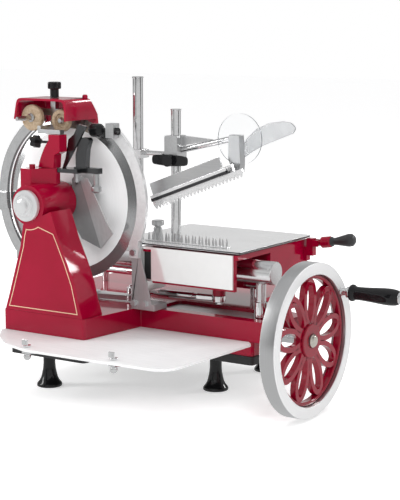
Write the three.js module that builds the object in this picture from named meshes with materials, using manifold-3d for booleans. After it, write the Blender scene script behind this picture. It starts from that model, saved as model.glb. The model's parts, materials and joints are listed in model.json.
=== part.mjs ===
// Hand crank meat slicer with a flywheel: a round blade on a cast tower, a carriage that the
// crank drives to and fro behind the blade, a toothed press on two posts, and a sharpener on top.
// Millimetres. The floor is z = 0, +X points to the flywheel, -Y to the receiving tray, +Z up.
import * as THREE from 'three';
import { mergeVertices } from 'three/addons/utils/BufferGeometryUtils.js';
import Module from 'manifold-3d';

const wasm = await Module();
wasm.setup();

// Middle of the footprint, which becomes the origin on the floor
const middleX = 17.7;
const middleY = 5.5;

// Clearances
const seatGap = 0.3;
const runGap = 0.3;
const slideGap = 0.6;

// Blade, its axis along Y, the cutting edge facing the carriage
const bladeX = -200;
const bladeY = -50;
const bladeZ = 360;
const bladeRadius = 150;
const bladeRim = 4;
const bladeBevel = 20;
const bladeDish = 8;
const bladeDishRadius = 114;
const bladeHubRadius = 32;
const bladeHubDepth = 10;
const bladeShaftRadius = 8;

// Guard ring around the edge, in two arcs
const guardGap = 2;
const guardWidth = 20;
const guardFront = bladeY - 7;
const guardRear = bladeY;
const guardRightArc = [-23, 51];
const guardLeftArc = [123, 219];
const guardMiddle = bladeRadius + guardGap + guardWidth / 2;
const guardEnd = (angle) => [bladeX + guardMiddle * Math.cos((angle * Math.PI) / 180),
  bladeZ + guardMiddle * Math.sin((angle * Math.PI) / 180)];
const guardTopEnd = guardEnd(guardRightArc[1]);
const guardLowEnd = guardEnd(guardRightArc[0]);
const guardRearEnd = guardEnd(guardLeftArc[1]);
const bracketX = [guardLowEnd[0] - 15, guardLowEnd[0] + 5];
const lugZ = [guardLowEnd[1] - 35, guardLowEnd[1] + 5];
const bracketThickness = 3;
const guardKnobY = guardFront - 10;
const guardKnobZ = guardTopEnd[1] + 4;

// Slice deflector, a folded plate behind the tower
const deflectorY = -81;
const deflectorThickness = 2.5;
const deflectorHinge = [-160, -88];
const deflectorTop = 414;
const deflectorKnobX = -113;

// Base casting
const floorToPan = 84;
const panThickness = 16;
const trayTop = 129;
const deckTop = 166;
const baseLeft = -324;
const baseRight = 222;
const baseFront = -27;
const baseRear = 300;
const baseCorner = 22;
const bodyRight = 84;
const wingRear = 78;
const blockLeft = -262;
const blockRight = -76;
const blockFront = -178;
const blockSplay = 14;
const lowerInset = 10;
const lowerRight = 172;
const castingWall = 9;
const cavityTop = 151;
const deckPlateThickness = 3;
const recess = { x0: -40, x1: 190, y0: -6, y1: 66, depth: 9, corner: 14 };

// Feet
const footRadius = 24;
const footNeck = 11;
const footSpots = {
  foot_front_left: [-250, -64],
  foot_front_right: [30, 84],
  foot_rear_right: [30, 268],
  foot_rear_left: [-250, 268],
};

// Receiving tray
const trayThickness = 4.5;
const trayFront = -289;
const trayRight = 184;
const trayPinRadius = 3;
const trayPins = { tray_clip_left: [-128, -272], tray_clip_right: [55, -267] };

// Tower
const towerRear = -120;
const towerWall = 9;
const bossRadius = 36;
const bearingRear = -84;
const capSteps = [[28, 10], [19, 5], [13, 4]];
const towerHead = { x0: -242, x1: -215, wide: -186, y0: -150, y1: -100, z0: 376, z1: 422 };

// Flywheel, its shaft along X
const wheelY = -6;
const wheelZ = 141;
const wheelRadius = 136;
const wheelFace = 291.5;
const wheelWidth = 30;
const rimInner = 115;
const spokeRingWidth = 7;
const petalCount = 9;
const petalTube = 4.6;
const hubRadius = 30;
const mainShaftRadius = 9;
const handleRadius = 118;
const handleAngle = 38;
const gripLength = 94;
const gripRadius = 15;
const spindleRadius = 6;

// Bevel gears and the chain drive to the blade
const gearRadius = 20;
const gearTeeth = 8;
const gearGap = 0.25;
const crossX = -128;
const sprocketY = -146;
const lowerSprocket = 20;
const driveRatio = 2;
const chainWidth = 7;
const chainThickness = 3.5;
const chainGap = 0.5;

// Crank that drives the carriage, and its connecting rod
const crankX = -193;
const crankThrow = 90;
const rodLength = 180;
const rodLine = 25;
const crankArmZ = 169;
const crankArmThickness = 11;
const rodZ = 188;
const rodThickness = 12;

// Guide rod, rear rail and carriage
const guideY = 12;
const guideZ = 248;
const guideRadius = 21;
const guideLeft = -322;
const guideRight = 203;
const rightColumnX = 172;
const railY = 160;
const railZ = 190;
const railRadius = 7;
const carriageLeft = -46;
const carriageRight = 156;
const carriageRear = 204;
const panelFront = -45;
const panelThickness = 4;
const panelLeft = -26;
const panelRight = 148;
const panelBottom = 221;
const plateTop = 289;
const plateThickness = 4;
const plateLeft = -112;
const plateRight = 161.5;
const plateFront = -42;
const plateRear = 210;
const feedScrewX = 118;
const feedScrewZ = plateTop - plateThickness - 9.5;
const feedScrewRadius = 3.5;


// Feed lever at the carriage's right rear corner
const leverX = carriageRight + 25;
const leverY = carriageRear - 7.5;
const leverZ = 277;
const leverPin = 2;
const leverTilt = 9;

// Posts and meat press
const postY = 5;
const leftPostX = -89;
const rightPostX = -5;
const leftPostRadius = 9.5;
const rightPostRadius = 9;
const leftPostTop = 585;
const rightPostTop = 529;
const pressZ = 455;
const pressBlock = { halfX: 14, front: 17, rear: 14, down: 28, up: 27 };
const armStartZ = 456;
const armEndX = 111;
const armEndZ = 480;
const armRadius = 5.5;
const bracketDepth = [-3, 14];
const bracketOutline = [[112, 444], [122, 422], [135, 422], [137, 442], [134, 488], [112, 488]];
const handDiscRadius = 45;
const handDiscCentre = [137, 482];
const discThickness = 3;
const pressPivot = [128, 430];
const pressAngle = 20.7;
const pressRun = 176;
const combFront = -30;
const combRear = -17;
const toothPitch = 8;

// Sharpener
const armBlock = { x0: -197, x1: -171.5, y0: -122, y1: -100, top: 483 };
const hoodX = [-286, -164];
const hoodY = [-112, -15];
const hoodBottom = 507;
const hoodTop = 546;
const hoodWall = 4;
const hoodLip = 12;
const frontStone = { x: -253, y0: -101, y1: -91.5, z: 510, radius: 24 };
const rearStone = { x: -195, y0: -90, y1: -79, z: 506, radius: 20.6 };
const stoneSpindle = 4;

const looks = {
  red: { color: 0x9c0f22, roughness: 0.25, metalness: 0.1 },
  steel: { color: 0xc9cbcd, roughness: 0.22, metalness: 0.95 },
  satin: { color: 0x9a9c9e, roughness: 0.45, metalness: 0.9 },
  aluminium: { color: 0xb9bbbd, roughness: 0.38, metalness: 0.85 },
  chrome: { color: 0xe2e4e6, roughness: 0.08, metalness: 1 },
  black: { color: 0x151516, roughness: 0.4, metalness: 0 },
  clear: { color: 0xdfe6ea, roughness: 0.08, metalness: 0 },
  stone: { color: 0xb09a7c, roughness: 0.95, metalness: 0 },
  darkSteel: { color: 0x3c3d40, roughness: 0.4, metalness: 0.8 },
};

const degrees = (angle) => (angle * Math.PI) / 180;

function solidOf(geometry) {
  const bare = geometry.clone();
  bare.deleteAttribute('normal');
  bare.deleteAttribute('uv');
  const merged = mergeVertices(bare, 1e-4);
  const mesh = new wasm.Mesh({
    numProp: 3,
    vertProperties: Float32Array.from(merged.attributes.position.array),
    triVerts: Uint32Array.from(merged.index.array),
  });
  return new wasm.Manifold(mesh);
}

function geometryOf(solid) {
  const mesh = solid.getMesh();
  const geometry = new THREE.BufferGeometry();
  geometry.setAttribute('position', new THREE.BufferAttribute(mesh.vertProperties, 3));
  geometry.setIndex(new THREE.BufferAttribute(mesh.triVerts, 1));
  const flat = geometry.toNonIndexed();
  flat.computeVertexNormals();
  return flat;
}

const join = (...solids) => solids.reduce((whole, next) => whole.add(next));
const cut = (solid, ...tools) => tools.reduce((rest, tool) => rest.subtract(tool), solid);

function box(x0, x1, y0, y1, z0, z1) {
  const geometry = new THREE.BoxGeometry(x1 - x0, y1 - y0, z1 - z0);
  geometry.translate((x0 + x1) / 2, (y0 + y1) / 2, (z0 + z1) / 2);
  return solidOf(geometry);
}

// Turns a solid of revolution made about Z so that its axis lies along x, y or z
function turnTo(geometry, axis) {
  if (axis === 'x') geometry.rotateY(Math.PI / 2);
  if (axis === 'y') geometry.rotateX(-Math.PI / 2);
  return geometry;
}

// Round bar along an axis from a to b, its centre line through the other two coordinates
function bar(axis, radius, a, b, c, d, sides = 16) {
  const geometry = new THREE.CylinderGeometry(radius, radius, b - a, sides);
  geometry.rotateX(Math.PI / 2);
  turnTo(geometry, axis);
  const middle = (a + b) / 2;
  if (axis === 'x') geometry.translate(middle, c, d);
  if (axis === 'y') geometry.translate(c, middle, d);
  if (axis === 'z') geometry.translate(c, d, middle);
  return solidOf(geometry);
}

const hexHead = (axis, radius, from, to, b, c) => bar(axis, radius, from, to, b, c, 6);

// Round bar between two points
function strut(from, to, radius, sides = 12) {
  const start = new THREE.Vector3(...from);
  const end = new THREE.Vector3(...to);
  const way = end.clone().sub(start);
  const geometry = new THREE.CylinderGeometry(radius, radius, way.length(), sides);
  geometry.applyQuaternion(new THREE.Quaternion().setFromUnitVectors(
    new THREE.Vector3(0, 1, 0), way.clone().normalize()));
  geometry.translate(...start.add(end).multiplyScalar(0.5).toArray());
  return solidOf(geometry);
}

// Solid of revolution: profile of [radius, height], both ends on the axis
function turned(axis, profile, at, sides = 20) {
  const points = profile.map(([radius, height]) => new THREE.Vector2(radius, height));
  const geometry = new THREE.LatheGeometry(points, sides);
  geometry.rotateX(Math.PI / 2);
  turnTo(geometry, axis);
  geometry.translate(...at);
  const solid = solidOf(geometry);
  return solid.volume() < 0 ? flipped(geometry) : solid;
}

function flipped(geometry) {
  const position = geometry.attributes.position;
  const index = Array.from(geometry.index.array);
  for (let i = 0; i < index.length; i += 3) [index[i + 1], index[i + 2]] = [index[i + 2], index[i + 1]];
  const turnedOver = new THREE.BufferGeometry();
  turnedOver.setAttribute('position', position);
  turnedOver.setIndex(index);
  return solidOf(turnedOver);
}

// Extruded outline. Plane xy rises along z, xz runs along y, yz along x
function slab(plane, outline, from, to, holes = []) {
  const shape = new THREE.Shape(outline.map(([a, b]) => new THREE.Vector2(a, b)));
  for (const hole of holes) shape.holes.push(new THREE.Path(hole.map(([a, b]) => new THREE.Vector2(a, b))));
  const geometry = new THREE.ExtrudeGeometry(shape, { depth: to - from, bevelEnabled: false });
  if (plane === 'xy') geometry.translate(0, 0, from);
  if (plane === 'xz') geometry.rotateX(Math.PI / 2).translate(0, to, 0);
  if (plane === 'yz') {
    geometry.rotateY(Math.PI / 2).rotateX(Math.PI / 2).translate(from, 0, 0);
  }
  return solidOf(geometry);
}

// Polygon with each corner rounded by its own radius: points of [a, b, radius]
function rounded(points, steps = 3) {
  const out = [];
  points.forEach(([a, b, radius = 0], i) => {
    if (!radius) {
      out.push([a, b]);
      return;
    }
    const before = points[(i + points.length - 1) % points.length];
    const after = points[(i + 1) % points.length];
    const corner = new THREE.Vector2(a, b);
    const back = new THREE.Vector2(before[0], before[1]).sub(corner).normalize();
    const ahead = new THREE.Vector2(after[0], after[1]).sub(corner).normalize();
    const half = Math.acos(THREE.MathUtils.clamp(back.dot(ahead), -1, 1)) / 2;
    const reach = radius / Math.tan(half);
    const start = corner.clone().addScaledVector(back, reach);
    const end = corner.clone().addScaledVector(ahead, reach);
    const curve = new THREE.QuadraticBezierCurve(start, corner, end);
    for (const point of curve.getPoints(steps)) out.push([point.x, point.y]);
  });
  return out;
}

// Part of a ring in an outline, from one angle to another
function arcBand(centre, inner, outer, fromAngle, toAngle, steps) {
  const at = (radius, angle) => [
    centre[0] + radius * Math.cos(degrees(angle)),
    centre[1] + radius * Math.sin(degrees(angle)),
  ];
  const out = [];
  for (let i = 0; i <= steps; i += 1) out.push(at(outer, fromAngle + ((toAngle - fromAngle) * i) / steps));
  for (let i = steps; i >= 0; i -= 1) out.push(at(inner, fromAngle + ((toAngle - fromAngle) * i) / steps));
  return out;
}

const slicer = new THREE.Group();

function piece(name, solid, look, parent = slicer) {
  const mesh = new THREE.Mesh(geometryOf(solid), new THREE.MeshStandardMaterial(looks[look]));
  mesh.name = name;
  parent.add(mesh);
  return mesh;
}

// Outline of the base seen from above: the main body, the tower's block in front of it and the
// arm on the right that carries the flywheel shaft
function baseOutline(inset, right = baseRight) {
  const corner = baseCorner - inset / 2;
  return rounded([
    [blockLeft + inset, blockFront + inset, 8],
    [blockRight - inset, blockFront + inset, 8],
    [blockRight + blockSplay - inset, baseFront + inset, 3],
    [right - inset, baseFront + inset, corner / 2],
    [right - inset, wingRear - inset, corner],
    [bodyRight + 40 - inset, wingRear + 30 - inset, 20],
    [bodyRight - inset, wingRear + 80 - inset, 30],
    [bodyRight - inset, baseRear - inset, corner],
    [baseLeft + inset, baseRear - inset, corner],
    [baseLeft + inset, baseFront + inset, corner / 2],
    [blockLeft - blockSplay / 2 + inset, baseFront + inset, 3],
  ]);
}

function baseCasting() {
  const upper = slab('xy', baseOutline(0), trayTop, deckTop);
  const lower = slab('xy', baseOutline(lowerInset, lowerRight + lowerInset), floorToPan + panThickness, trayTop + 1);
  const cavity = slab('xy', baseOutline(castingWall + lowerInset, lowerRight + lowerInset),
    floorToPan, cavityTop);
  const sideCavity = box(lowerRight - 60, baseRight - castingWall, baseFront + 24, wingRear - castingWall,
    trayTop + castingWall, cavityTop);
  const pocket = slab('xy', rounded([
    [recess.x0, recess.y0, recess.corner], [recess.x1, recess.y0, recess.corner],
    [recess.x1, recess.y1, recess.corner], [recess.x0, recess.y1, recess.corner],
  ]), deckTop - recess.depth, deckTop + 1);
  const shaftHole = bar('x', mainShaftRadius + runGap, lowerRight - 40, baseRight + 1, wheelY, wheelZ);
  const bearingRib = box(-66, -48, baseFront + lowerInset + 1, wheelY + 24, floorToPan + panThickness + 6,
    cavityTop + 1);
  const shaftChannel = bar('x', mainShaftRadius + 1.5, blockRight - 10, baseRight - castingWall, wheelY, wheelZ);
  const ribHole = bar('x', mainShaftRadius + runGap, -67, -47, wheelY, wheelZ);
  const gearWell = bar('x', gearRadius + 1.5, crankX + 4, crankX + gearRadius + 14, wheelY, wheelZ);
  const secondWell = bar('x', gearRadius + 1.5, crossX - 4, crossX + gearRadius + 14, wheelY, wheelZ);
  const crossWell = bar('y', gearRadius + 1.5, wheelY - gearRadius - 14, wheelY + 4, crossX, wheelZ);
  const crankHole = bar('z', 8 + runGap, 90, deckTop + 1, crankX, wheelY);
  const chainSlot = box(crossX - lowerSprocket - chainThickness - 14, crossX + lowerSprocket + chainThickness + 5,
    sprocketY - chainWidth / 2 - 3, sprocketY + chainWidth / 2 + 3, trayTop - 22, deckTop + 1);
  const pedestal = join(
    box(guideLeft + 2, guideLeft + 15, guideY - 12, guideY + 12, deckTop - 2, guideZ - guideRadius + 6),
    bar('x', guideRadius + 8, guideLeft - 2, guideLeft + 17, guideY, guideZ));
  const rodSeat = bar('x', guideRadius + seatGap, guideLeft + 3, guideLeft + 40, guideY, guideZ, 32);
  const body = cut(join(upper, lower), cavity, sideCavity, shaftChannel, pocket, gearWell, secondWell,
    crossWell, chainSlot);
  return cut(join(body, bearingRib, pedestal), shaftHole, ribHole, crankHole, rodSeat);
}

// Outline around both sprockets at a distance from them
function chainOutline(away) {
  const lower = lowerSprocket + away;
  const upper = lowerSprocket / driveRatio + away;
  const span = new THREE.Vector2(bladeX - crossX, bladeZ - wheelZ);
  const along = Math.atan2(span.y, span.x);
  const lean = Math.acos((lower - upper) / span.length());
  const points = [];
  for (let i = 0; i <= 14; i += 1) {
    const angle = along + lean + ((2 * Math.PI - 2 * lean) * i) / 14;
    points.push([crossX + lower * Math.cos(angle), wheelZ + lower * Math.sin(angle)]);
  }
  for (let i = 0; i <= 10; i += 1) {
    const angle = along - lean + (2 * lean * i) / 10;
    points.push([bladeX + upper * Math.cos(angle), bladeZ + upper * Math.sin(angle)]);
  }
  return points;
}

function addBase() {
  piece('base_casting', baseCasting(), 'red');
  const panTop = floorToPan + panThickness - seatGap;
  const pan = slab('xy', baseOutline(lowerInset - 2, lowerRight + lowerInset), floorToPan, panTop);
  piece('base_pan', pan, 'black');
  const plateZ = deckTop - recess.depth + seatGap;
  const lip = seatGap + 0.7;
  piece('deck_plate', slab('xy', rounded([
    [recess.x0 + lip, recess.y0 + lip, recess.corner], [recess.x1 - lip, recess.y0 + lip, recess.corner],
    [recess.x1 - lip, recess.y1 - lip, recess.corner], [recess.x0 + lip, recess.y1 - lip, recess.corner],
  ]), plateZ, plateZ + deckPlateThickness), 'satin');
  for (const [name, [x, y]] of Object.entries(footSpots)) {
    const top = floorToPan - seatGap;
    piece(name, turned('z', [
      [0, 0], [footRadius, 0], [footRadius, 5], [footRadius - 4, 11], [footNeck + 4, 22], [footNeck, 40],
      [footNeck, top - 8], [footNeck + 4, top - 8], [footNeck + 4, top], [0, top],
    ], [x, y, 0], 14), 'black');
  }
}

function trayOutline() {
  const gap = 0.6;
  const inset = lowerInset - gap;
  return rounded([
    [blockLeft + 2, blockFront + inset, 0],
    [blockRight - inset, blockFront + inset, 6],
    [blockRight + blockSplay - inset, baseFront + inset, 3],
    [trayRight - 22, baseFront + inset, 0],
    [trayRight, baseFront - 12, 14],
    [trayRight - 11, trayFront + 5, 38],
    [-50, trayFront, 40],
    [-122, trayFront, 50],
    [blockLeft + 80, blockFront - 90, 40],
    [blockLeft + 32, blockFront - 50, 30],
    [blockLeft, blockFront - 6, 4],
  ], 5);
}

function addTray() {
  const top = trayTop - seatGap;
  const bottom = top - trayThickness;
  let tray = slab('xy', trayOutline(), bottom, top);
  for (const [x, y] of Object.values(trayPins)) {
    tray = cut(tray, bar('z', trayPinRadius + seatGap, bottom - 1, top + 1, x, y, 12));
  }
  piece('receiving_tray', tray, 'steel');
  for (const [name, [x, y]] of Object.entries(trayPins)) {
    const armTop = bottom - seatGap;
    const root = x < blockRight ? blockFront + lowerInset - seatGap : baseFront + lowerInset - seatGap;
    const cap = turned('z', [[0, 0], [6.6, 0], [7, 1], [7, 3], [0, 4]], [x, y, top + seatGap], 16);
    const stem = bar('z', trayPinRadius, armTop - 6, top + 1, x, y, 12);
    const ball = turned('z', [[0, -7], [3.7, -6], [6.2, -3.4], [7, 0], [6.2, 3.4], [3.7, 6], [0, 7]],
      [x, y, armTop - 12], 16);
    const link = bar('z', 3.4, armTop - 12, armTop - 2, x, y, 12);
    const arm = slab('yz', [[y - 6, armTop], [y - 6, armTop - 6], [y + 40, armTop - 14], [root, armTop - 16],
      [root, armTop]], x - 7, x + 7);
    piece(name, join(cap, stem, link, ball, arm), 'chrome');
  }
}

const towerFoot = deckTop + seatGap;

// Front outline of the tower: a foot that narrows in two long curves to the round boss
function towerOutline(inset) {
  const left = [[-257, towerFoot], [-248, 193], [-233, 240], [-219, 285], [-212, 325]];
  const right = [[-149, 352], [-130, 300], [-112, 262], [-97, 225], [-88, 190], [-80, towerFoot]];
  return [
    ...left.map(([x, z]) => [x + inset, z]),
    ...right.map(([x, z]) => [x - inset, z]),
  ].reverse();
}

function addTower() {
  const front = blockFront;
  const column = slab('xz', towerOutline(0), front, towerRear);
  const boss = bar('y', bossRadius, front, bearingRear, bladeX, bladeZ, 40);
  const { x0, x1, wide, y0, y1, z0, z1 } = towerHead;
  const head = slab('xy', rounded([[x0, y0, 5], [x1, y0, 4], [wide, y0 + 36, 6], [wide, y1, 4], [x0, y1, 5]]), z0, z1);
  const neck = box(x0 + 14, wide, y0, y1, bladeZ, z0 + 8);
  const chainRoom = slab('xz', chainOutline(chainGap + chainThickness + 1.5), front + towerWall, towerRear - 7);
  const hollow = cut(slab('xz', towerOutline(towerWall + 2), front + towerWall, towerRear - 7),
    box(-400, 0, front, towerRear, bladeZ - 60, bladeZ + 200), box(-400, 0, front, towerRear, 0, towerFoot - 1));
  const hollowFoot = slab('xz', [[-240, towerFoot - 2], [-96, towerFoot - 2], [-98, towerFoot + 20],
    [-236, towerFoot + 20]], front + towerWall, towerRear - 7);
  const bore = bar('y', bladeShaftRadius + runGap, front - 1, bearingRear + 1, bladeX, bladeZ, 32);
  const nut = hexHead('z', 5.4, z1 - 1, z1 + 7, x0 + 16, y0 + 17);
  piece('tower_column', cut(join(column, boss, head, neck, nut), chainRoom, hollow, hollowFoot, bore), 'red');

  const depth = front - seatGap;
  const profile = [[0, 0]];
  let run = 0;
  for (const [radius, length] of capSteps) {
    profile.push([radius, run], [radius, run + length - 1.5], [radius - 1.5, run + length]);
    run += length;
  }
  profile.push([0, run]);
  const shell = turned('y', profile.map(([r, h]) => [r, -h]), [bladeX, depth, bladeZ], 24);
  const inside = bar('y', bladeShaftRadius + 2, depth - capSteps[0][1] + 5, depth + 1, bladeX, bladeZ, 24);
  piece('shaft_cap', cut(shell, inside), 'aluminium');
}

// Bevel gear with its pitch cone's point at the origin, opening along +Z
function bevelGear(radius) {
  const face = 8;
  const back = 5;
  const inner = radius - face;
  const low = inner + gearGap * Math.SQRT2;
  const high = radius + gearGap * Math.SQRT2;
  let gear = turned('z', [[0, low], [inner, low], [radius, high], [radius - 2, high + back], [0, high + back]],
    [0, 0, 0], gearTeeth * 2);
  for (let i = 0; i < gearTeeth; i += 1) {
    const notch = new THREE.BoxGeometry(1.8, face * 2.2, 2.4);
    notch.rotateX(Math.PI / 4);
    notch.translate(0, radius - face / 2, high - face / 2);
    notch.rotateZ((i + 0.5) * 2 * Math.PI / gearTeeth);
    gear = cut(gear, solidOf(notch));
  }
  return gear;
}

function placed(solid, axis, flip, at) {
  const matrix = new THREE.Matrix4();
  if (axis === 'x') matrix.makeRotationY(flip ? -Math.PI / 2 : Math.PI / 2);
  if (axis === 'y') matrix.makeRotationX(flip ? Math.PI / 2 : -Math.PI / 2);
  if (axis === 'z' && flip) matrix.makeRotationX(Math.PI);
  matrix.setPosition(...at);
  return solid.transform(matrix.elements);
}

function sprocket(radius, y, x, z, sides) {
  return bar('y', radius, y - chainWidth / 2 + 1, y + chainWidth / 2 - 1, x, z, sides);
}

function addDrive() {
  const gear = bevelGear(gearRadius);
  const firstGear = placed(gear, 'x', false, [crankX, wheelY, wheelZ]);
  const secondGear = placed(gear, 'x', false, [crossX, wheelY, wheelZ]);
  const shaft = bar('x', mainShaftRadius, crankX + gearRadius + 2, wheelFace - 7 - seatGap, wheelY, wheelZ, 24);
  piece('main_shaft', join(shaft, firstGear, secondGear), 'satin');

  const crossGear = placed(gear, 'y', true, [crossX, wheelY, wheelZ]);
  const crossBar = bar('y', 8, sprocketY - 11, wheelY - gearRadius - 2, crossX, wheelZ, 20);
  const wheel = sprocket(lowerSprocket, sprocketY, crossX, wheelZ, 30);
  piece('cross_shaft', join(crossBar, crossGear, wheel), 'satin');

  const upperSprocket = lowerSprocket / driveRatio;
  piece('drive_chain', slab('xz', chainOutline(chainGap + chainThickness), sprocketY - chainWidth / 2,
    sprocketY + chainWidth / 2, [chainOutline(chainGap)]), 'darkSteel');

  const shaftFront = blockFront - 2;
  const hubRear = bladeY - bladeRim - bladeDish;
  const bladeShaft = bar('y', bladeShaftRadius, shaftFront, hubRear - bladeHubDepth + 1, bladeX, bladeZ, 24);
  const flange = turned('y', [[0, 0], [bladeHubRadius, 0], [bladeHubRadius, bladeHubDepth - 2],
    [bladeHubRadius - 2, bladeHubDepth], [0, bladeHubDepth]].map(([r, h]) => [r, -h]),
  [bladeX, hubRear - seatGap, bladeZ], 32);
  const upper = sprocket(upperSprocket, sprocketY, bladeX, bladeZ, 24);
  piece('blade_shaft', join(bladeShaft, flange, upper), 'satin');

  const front = -bladeRim;
  const blade = turned('y', [
    [0, -bladeDish], [bladeDishRadius - 12, -bladeDish], [bladeDishRadius, 0], [bladeRadius, 0],
    [bladeRadius - bladeBevel, front], [bladeDishRadius - 2, front], [bladeDishRadius - 14, front - bladeDish],
    [0, front - bladeDish],
  ], [bladeX, bladeY, bladeZ], 54);
  piece('blade', blade, 'steel');
}

function addCrank() {
  const armTop = crankArmZ + crankArmThickness;
  const reach = Math.sqrt((rodLength + crankThrow) ** 2 - (rodLine - wheelY) ** 2);
  const turn = Math.atan2(rodLine - wheelY, reach);
  const pin = [crankX + crankThrow * Math.cos(turn), wheelY + crankThrow * Math.sin(turn)];
  const boss = [crankX + reach, rodLine];
  const hub = bar('z', 18, crankArmZ, armTop, crankX, wheelY, 28);
  const end = bar('z', 12, crankArmZ, armTop, pin[0], pin[1], 20);
  const side = (u, v) => [
    crankX + u * Math.cos(turn) - v * Math.sin(turn),
    wheelY + u * Math.sin(turn) + v * Math.cos(turn),
  ];
  const web = slab('xy', [side(0, -15), side(crankThrow, -10), side(crankThrow, 10), side(0, 15)],
    crankArmZ + 1, armTop - 1);
  const gearTop = wheelZ - 12;
  const shaft = bar('z', 8, gearTop - 14, crankArmZ + 1, crankX, wheelY, 20);
  const gear = placed(bevelGear(gearRadius), 'z', true, [crankX, wheelY, wheelZ]);
  piece('crank', join(hub, end, web, shaft, gear), 'satin');

  const rodBottom = rodZ - rodThickness / 2;
  const rodTop = rodZ + rodThickness / 2;
  const along = (distance) => [
    boss[0] + (pin[0] - boss[0]) * (distance / rodLength),
    boss[1] + (pin[1] - boss[1]) * (distance / rodLength),
  ];
  const eye = (spot, radius) => turned('z', [[0, rodBottom], [radius - 1, rodBottom], [radius, rodBottom + 1],
    [radius, rodTop - 1], [radius - 1, rodTop], [0, rodTop]], [spot[0], spot[1], 0], 24);
  const pinHead = turned('z', [[0, rodTop - 1], [7, rodTop - 1], [7, rodTop + 3], [4, rodTop + 5], [0, rodTop + 5]],
    [pin[0], pin[1], 0], 16);
  const shank = strut([...along(10), rodZ], [...along(rodLength - 10), rodZ], 4.6, 14);
  const sleeve = (from, to) => strut([...along(from), rodZ], [...along(to), rodZ], 6, 6);
  const bolt = turned('z', [[0, rodBottom - 4], [6.5, rodBottom - 4], [6.5, rodBottom + 1], [0, rodBottom + 1]],
    [boss[0], boss[1], 0], 6);
  piece('connecting_rod', join(shank, eye(boss, 12), eye(pin, 11), sleeve(12, 44), sleeve(rodLength - 40, rodLength - 8),
    pinHead, bolt), 'steel');
  return { boss, rodTop };
}

function addGuideRods() {
  piece('guide_rod', bar('x', guideRadius, guideLeft + 3 + seatGap, guideRight, guideY, guideZ, 36), 'steel');
  const foot = deckTop - recess.depth + seatGap * 2 + deckPlateThickness;
  const columnTop = cut(bar('z', 9, foot, guideZ, rightColumnX, guideY, 24),
    bar('x', guideRadius + seatGap, rightColumnX - 30, rightColumnX + 30, guideY, guideZ, 36));
  const sleeve = bar('z', 12, foot, foot + 34, rightColumnX, guideY, 24);
  piece('rod_column', join(columnTop, sleeve), 'chrome');
  const railLeft = baseLeft + 30;
  const railRight = bodyRight - 2;
  const rail = bar('x', railRadius, railLeft, railRight, railY, railZ, 20);
  const legs = [railLeft + 10, railRight - 16].map((x) =>
    bar('z', 7, deckTop + seatGap, railZ - 2, x, railY, 16));
  piece('rear_rail', join(rail, ...legs), 'chrome');
}

function addCarriage({ boss, rodTop }) {
  const left = carriageLeft;
  const right = carriageRight;
  const wallFront = panelFront + panelThickness + seatGap;
  const deckUnder = plateTop - plateThickness - 12;
  const deckUpper = plateTop - plateThickness - 3;
  const sleeveRight = right - 56;
  const deck = box(left, right, wallFront, carriageRear, deckUnder, deckUpper);
  const frontWall = box(panelLeft, panelRight + 2, wallFront, wallFront + 7, panelBottom - 4, deckUnder + 1);
  const sleeve = bar('x', guideRadius + 9, left, sleeveRight, guideY, guideZ, 32);
  const web = box(left, sleeveRight, guideY - 12, guideY + 12, guideZ, deckUnder + 1);
  const sideWall = box(right - 8, right, 70, carriageRear, deckUnder - 58, deckUnder + 1);
  const backWall = box(left, right, carriageRear - 7, carriageRear, railZ + railRadius + 10, deckUnder + 1);
  const shoe = box(10, 50, railY - 12, railY + 20, railZ - 2, deckUnder + 1);
  const rib = box(-30, 66, guideY - 6, guideY + 6, guideZ - guideRadius - 18, guideZ - guideRadius - 2);
  const driveBoss = bar('z', 12, rodTop + runGap, guideZ - guideRadius + 2, boss[0], boss[1], 24);
  const drivePad = box(boss[0] - 16, boss[0] + 16, guideY - 4, boss[1] + 12, guideZ - guideRadius - 8, guideZ - 10);
  const leverArm = join(
    box(right - 1, right + 7, leverY - 6.5, leverY + 6.5, deckUnder - 30, deckUnder - 4),
    box(right + 6, leverX - 5.5, leverY - 6.5, leverY + 6.5, deckUnder - 20, deckUnder + 12),
    box(leverX - 6.5, leverX + 6, leverY - 9, leverY - 4.8, leverZ - 6, leverZ + 6),
    box(leverX - 6.5, leverX + 6, leverY + 4.8, leverY + 9, leverZ - 6, leverZ + 6),
    bar('y', leverPin, leverY - 8, leverY + 8, leverX, leverZ, 12));
  const bore = bar('x', guideRadius + slideGap, left - 1, right + 1, guideY, guideZ, 36);
  const railSlot = bar('x', railRadius + slideGap, left - 1, right + 1, railY, railZ, 20);
  const railGroove = box(9, 51, railY - railRadius - slideGap, railY + railRadius + slideGap, railZ - 10, railZ);
  const screwTunnel = bar('y', feedScrewRadius + 0.8, wallFront - 1, carriageRear + 20, feedScrewX, feedScrewZ, 12);
  const body = join(deck, frontWall, sleeve, web, sideWall, backWall, shoe, rib, driveBoss, drivePad, leverArm);
  piece('carriage', cut(body, bore, railSlot, railGroove, screwTunnel), 'red');

  const panel = box(panelLeft, panelRight, panelFront, panelFront + panelThickness, panelBottom, deckUpper);
  const topRail = box(left - 4, panelLeft + 1, panelFront, panelFront + panelThickness, deckUnder + 5, deckUpper);
  const endPlate = box(left - 4, left - seatGap, panelFront, 30, panelBottom - 24, deckUpper);
  const clearBore = bar('x', guideRadius + slideGap, left - 5, left, guideY, guideZ, 36);
  piece('carriage_panel', cut(join(panel, topRail, endPlate), clearBore), 'steel');
}


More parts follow.
